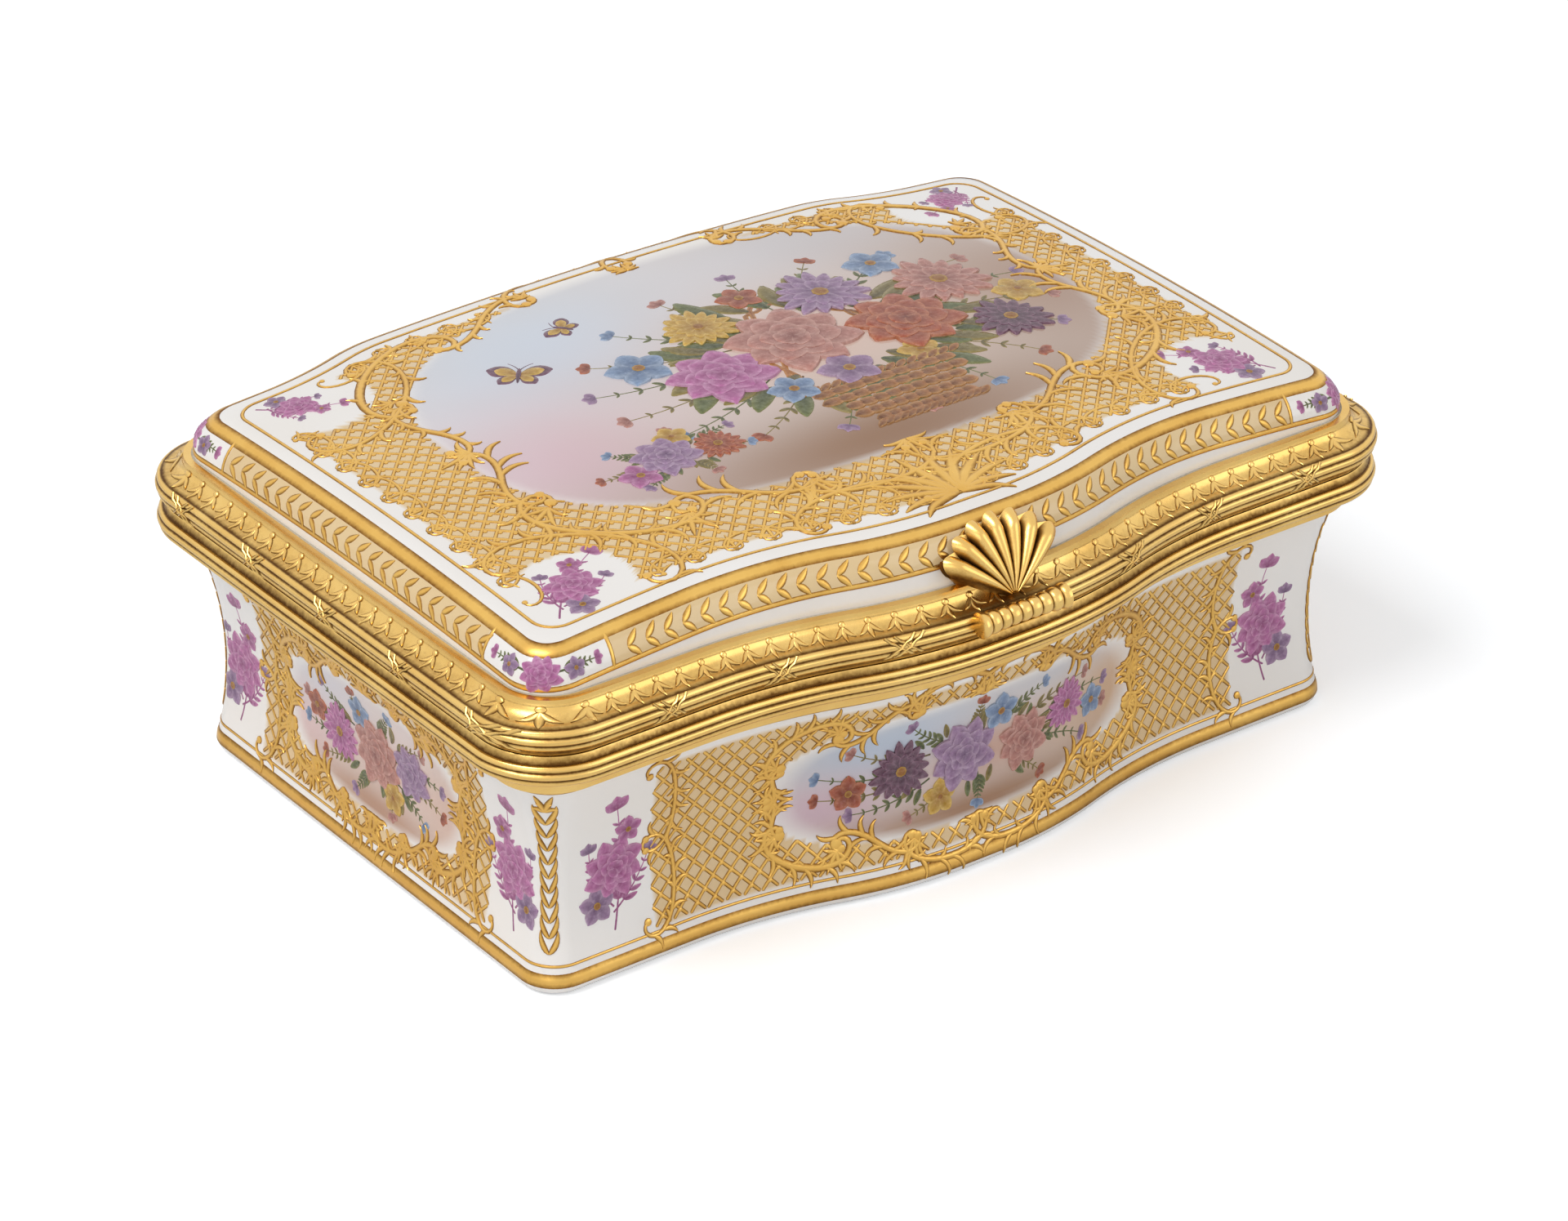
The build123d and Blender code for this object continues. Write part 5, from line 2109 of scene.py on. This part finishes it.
@dataclass(frozen=True)
class BearerChasing:
    """Leaf rows between two lines, chased on the outer faces of a hinge bearer."""

    finishes: Finishes
    node: str
    body: Body
    way: int
    pitch: float = 2.3
    end_margin: float = 0.9
    line_margin: float = 0.14
    top_shift: float = 0.25
    back_drop: float = 0.85
    top_room: float = 1.1
    back_room: float = 0.62

    def build(self) -> None:
        """Dresses the face that looks up or down, and the back face beyond the knuckles."""
        low, high = (np.array(corner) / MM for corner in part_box(self.node))
        half = float(high[0]) - self.end_margin
        level = float(high[2] if self.way > 0 else low[2])
        middle = float(low[1] + high[1]) / 2 + self.top_shift
        top = FlatSkin((0, middle, level), (self.way, 0, 0), (0, 1, 0))
        back = FlatSkin((0, float(high[1]), level - self.way * self.back_drop), (-1, 0, 0), (0, 0, 1))
        for name, skin, room in (("top", top, self.top_room), ("back", back, self.back_room)):
            tool = Gilder(skin.place, copies=Copies.PAIR, thick=0.4, height=0.07, sink=0.02)
            for place in np.arange(0.5, half - 2.0, self.pitch):
                tool.scroll(complex(place, -0.3 * room), complex(place + 1.7, 0.3 * room), Curl.S, 0.9,
                            3.0, 0)
                for side in (-1, 1):
                    tool.leaf(complex(place + 0.9, 0), side * 0.9, room * 0.95, -side * 0.8)
            for side in (-1, 1):
                path = np.linspace(-half, half, 9) + 1j * side * (room + self.line_margin)
                tool.at(0j).line(path, 0.2, 0.05)
            tool.make(f"{self.node}_{name}_chasing", self.body, self.finishes.mount)


@dataclass
class Thumbpiece:
    """A gilt shell that rises over the lid's shoulder from a turned bar on the mount."""

    finishes: Finishes
    plan: Plan
    root_inset: float = 0.7
    root_height: float = 25.05
    slope: float = math.radians(56.7)
    reach: float = 5.5
    flutes: int = 7
    spread: float = math.radians(118)
    crest: float = 0.96
    thickness: float = 1.5
    rim_wave: float = 1.15
    shell_columns: int = 141
    shell_rows: int = 26
    bar_proud: float = 0.35
    bar_height: float = 24.3
    bar_half: float = 4.3
    bar_radius: float = 0.95
    bar_rings: int = 91
    bar_columns: int = 32
    bar_beads: float = 4.5

    def _add_shell(self, draft: MeshDraft) -> None:
        """Adds the fan, whose rim and ribs follow the absolute cosine of the flutes' angle.

        Args:
            draft: Where it goes.
        """
        fan = np.linspace(-0.5, 0.5, self.shell_columns)
        turn = fan * self.spread
        ribs = np.abs(np.cos(np.pi * self.flutes * fan))
        wave = ribs**0.55
        share = np.linspace(0.06, 1, self.shell_rows)[:, None]
        radius = share * (self.reach + self.rim_wave * wave)
        rise = (0.12 + self.crest * share**1.1) * wave + 0.5 * np.sin(np.pi * share**0.8)
        rise = rise * np.sqrt(np.clip((1.02 - share) / 0.2, 0, 1))
        below = -self.thickness * np.clip((1.04 - share) / 0.3, 0.25, 1) * np.ones(rise.shape)
        top = np.stack([radius * np.sin(turn), radius * np.cos(turn), rise], -1)
        under = np.stack([radius * 0.985 * np.sin(turn), radius * 0.985 * np.cos(turn), below], -1)
        across, up, off = np.moveaxis(np.concatenate([top, under[:, ::-1]], 1), -1, 0)
        ahead = math.cos(self.slope) * up - math.sin(self.slope) * off
        climb = math.sin(self.slope) * up + math.cos(self.slope) * off
        grid = np.stack([across, self.root_inset - self.plan.front_line + ahead,
                         self.root_height + climb], -1)
        # Painted shade and dirt between the ribs: the furrows get a high recess, and the shell's underside a
        # middling one.
        recess = np.concatenate([1 - ribs, np.full(self.shell_columns, 0.6)])
        draft.add(grid, np.array([grid[0].mean(0), grid[-1].mean(0)]),
                  recess=np.broadcast_to(recess, grid.shape[:2]))

    def _add_bar(self, draft: MeshDraft) -> None:
        """Adds the turned bar, whose beads follow the absolute cosine along it.

        Args:
            draft: Where it goes.
        """
        place = np.linspace(-1, 1, self.bar_rings)[1:-1]
        bead = np.abs(np.cos(np.pi * self.bar_beads * place)) ** 0.5
        radius = self.bar_radius * (0.72 + 0.28 * bead) * (0.85 + 0.3 * place**2)
        radius = radius * np.sqrt(np.clip((1.001 - np.abs(place)) / 0.06, 0, 1))
        turn = np.linspace(0, 2 * np.pi, self.bar_columns + 1)[:-1]
        bar = np.zeros((len(place), self.bar_columns, 3))
        bar[..., 0] = (place * self.bar_half)[:, None]
        bar[..., 1] = radius[:, None] * np.cos(turn) - self.plan.front_line - self.bar_proud
        bar[..., 2] = radius[:, None] * np.sin(turn) + self.bar_height
        # Painted shade and dirt in the grooves between the beads.
        draft.add(bar, np.array([bar[0].mean(0), bar[-1].mean(0)]),
                  recess=np.broadcast_to((1 - bead)[:, None], bar.shape[:2]))

    def build(self) -> None:
        """Makes the shell and the turned bar as one piece."""
        draft = MeshDraft()
        self._add_shell(draft)
        self._add_bar(draft)
        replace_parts(draft.build("shell_thumbpiece", Body.LID, self.finishes.mount, crease=50), "thumbpiece")


@dataclass(frozen=True)
class CameraView:
    """Where the photograph was taken from."""

    azimuth: float = -36.1
    elevation: float = 28.54
    distance: float = 0.462
    lens: float = 134.8
    sensor: float = 36.0
    aim: Spot = (0.0, 0.0, 0.016)
    frame_width: float = 1920.0
    aim_right: float = -16.2
    aim_up: float = 81.6

    def build(self) -> None:
        """Places the camera so that the aim point falls beside the frame's middle, with no shift."""
        across, up = math.radians(self.azimuth), math.radians(self.elevation)
        back = Vector((math.sin(across) * math.cos(up), -math.cos(across) * math.cos(up), math.sin(up)))
        right = Vector((math.cos(across), math.sin(across), 0))
        upward = back.cross(right)
        focal = self.lens / self.sensor * self.frame_width
        forward = -back - right * (self.aim_right / focal) - upward * (self.aim_up / focal)
        data = bpy.data.cameras.new("photo_camera")
        data.lens = self.lens
        data.sensor_width = self.sensor
        data.clip_start = 0.01
        camera = bpy.data.objects.new("photo_camera", data)
        camera.location = Vector(self.aim) + back * self.distance
        camera.rotation_euler = forward.to_track_quat("-Z", "Y").to_euler()
        bpy.context.scene.collection.objects.link(camera)
        bpy.context.scene.camera = camera


@dataclass(frozen=True)
class Lamp:
    """A square soft lamp that faces the box, in metres and watts."""

    name: str
    place: Spot
    size: float
    watts: float
    aim: Spot = (0.0, 0.0, 0.015)

    def build(self) -> None:
        """Places the lamp."""
        data = bpy.data.lights.new(self.name, "AREA")
        data.shape = "SQUARE"
        data.size = self.size
        data.energy = self.watts
        lamp = bpy.data.objects.new(self.name, data)
        lamp.location = self.place
        towards = Vector(self.aim) - Vector(self.place)
        lamp.rotation_euler = towards.to_track_quat("-Z", "Y").to_euler()
        bpy.context.scene.collection.objects.link(lamp)


@dataclass(frozen=True)
class Studio:
    """Pale floor, white surroundings and soft lamps."""

    floor_half: float = 3.0
    floor_white: Colour = (0.905, 0.925, 0.95)
    floor_lift: float = 0.34
    world_colour: Colour = (0.98, 0.99, 1.0)
    world_strength: float = 0.5
    lamps: tuple[Lamp, ...] = (
        Lamp("key_lamp", (-0.5, -0.05, 0.8), 0.45, 3.95),
        Lamp("fill_lamp", (0.5, -0.82, 0.42), 0.7, 1.35),
        Lamp("left_lamp", (-0.8, -0.5, 0.3), 0.5, 0.7),
    )

    def _floor(self) -> None:
        """A wide flat floor just under the box, lifted a little towards white for the camera."""
        corners = [(x * self.floor_half, y * self.floor_half, 0)
                   for x, y in ((-1, -1), (1, -1), (1, 1), (-1, 1))]
        mesh = bpy.data.meshes.new("studio_floor")
        mesh.from_pydata(corners, [], [(0, 1, 2, 3)])
        shader = Shader("studio_floor")
        seen = shader.node("ShaderNodeLightPath", {}, {}).outputs["Is Camera Ray"]
        glow = shader.mix(seen, (0.0, 0.0, 0.0), (self.floor_lift,) * 3)
        shader.set(Base_Color=self.floor_white, Roughness=0.6, Specular_IOR_Level=0.0,
                   Emission_Color=glow, Emission_Strength=1.0)
        mesh.materials.append(shader.material)
        floor = bpy.data.objects.new("studio_floor", mesh)
        bpy.context.scene.collection.objects.link(floor)

    def _world(self) -> None:
        """A world that lights softly and shows white to the camera and in reflections."""
        world = bpy.data.worlds.new("studio_world")
        world.use_nodes = True
        nodes = Nodes(world.node_tree)
        rays = nodes.node("ShaderNodeLightPath", {}, {}).outputs
        seen = Socket(nodes, rays["Is Camera Ray"]).most(rays["Is Transmission Ray"])
        soft = nodes.node("ShaderNodeBackground", {}, {
            "Color": self.world_colour, "Strength": self.world_strength})
        white = nodes.node("ShaderNodeBackground", {}, {"Color": (1.0, 1.0, 1.0)})
        mixed = nodes.node("ShaderNodeMixShader", {}, {
            0: seen.most(rays["Is Glossy Ray"]), 1: soft.outputs[0], 2: white.outputs[0]})
        nodes.node("ShaderNodeOutputWorld", {}, {0: mixed.outputs[0]})
        bpy.context.scene.world = world

    def build(self) -> None:
        """Makes the floor, the world and the lamps."""
        self._floor()
        self._world()
        for lamp in self.lamps:
            lamp.build()
        bpy.context.scene.view_settings.view_transform = "Standard"


def main() -> None:
    """Builds the looks around the frame."""
    logging.basicConfig(level=logging.INFO)
    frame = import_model()
    CameraView().build()
    Studio().build()
    finishes = Finishes.make()
    finishes.dress_solids(frame)
    plan = Plan.from_frame()
    _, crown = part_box("lid_panel")
    wall = WallSkin(plan)
    lid = LidSkin(plan, crown.z / MM)
    walls = WallDecoration(finishes, wall)
    top = LidDecoration(finishes, lid)
    PorcelainBox(finishes, wall, walls.ground).build()
    PorcelainLid(finishes, lid, top.ground).build()
    walls.build()
    top.build()
    Thumbpiece(finishes, plan).build()
    BearerChasing(finishes, "base_hinge_bearer", Body.BASE, -1).build()
    BearerChasing(finishes, "lid_hinge_bearer", Body.LID, 1).build()
    Mount(finishes, plan, "base_mount", Body.BASE, 22.45, -1, 4.0, 6.45).build()
    upper = Mount(finishes, plan, "lid_mount", Body.LID, 22.55, 1, 3.7, 6.25)
    upper.build()
    upper.chase()


if __name__ == "__main__":
    main()
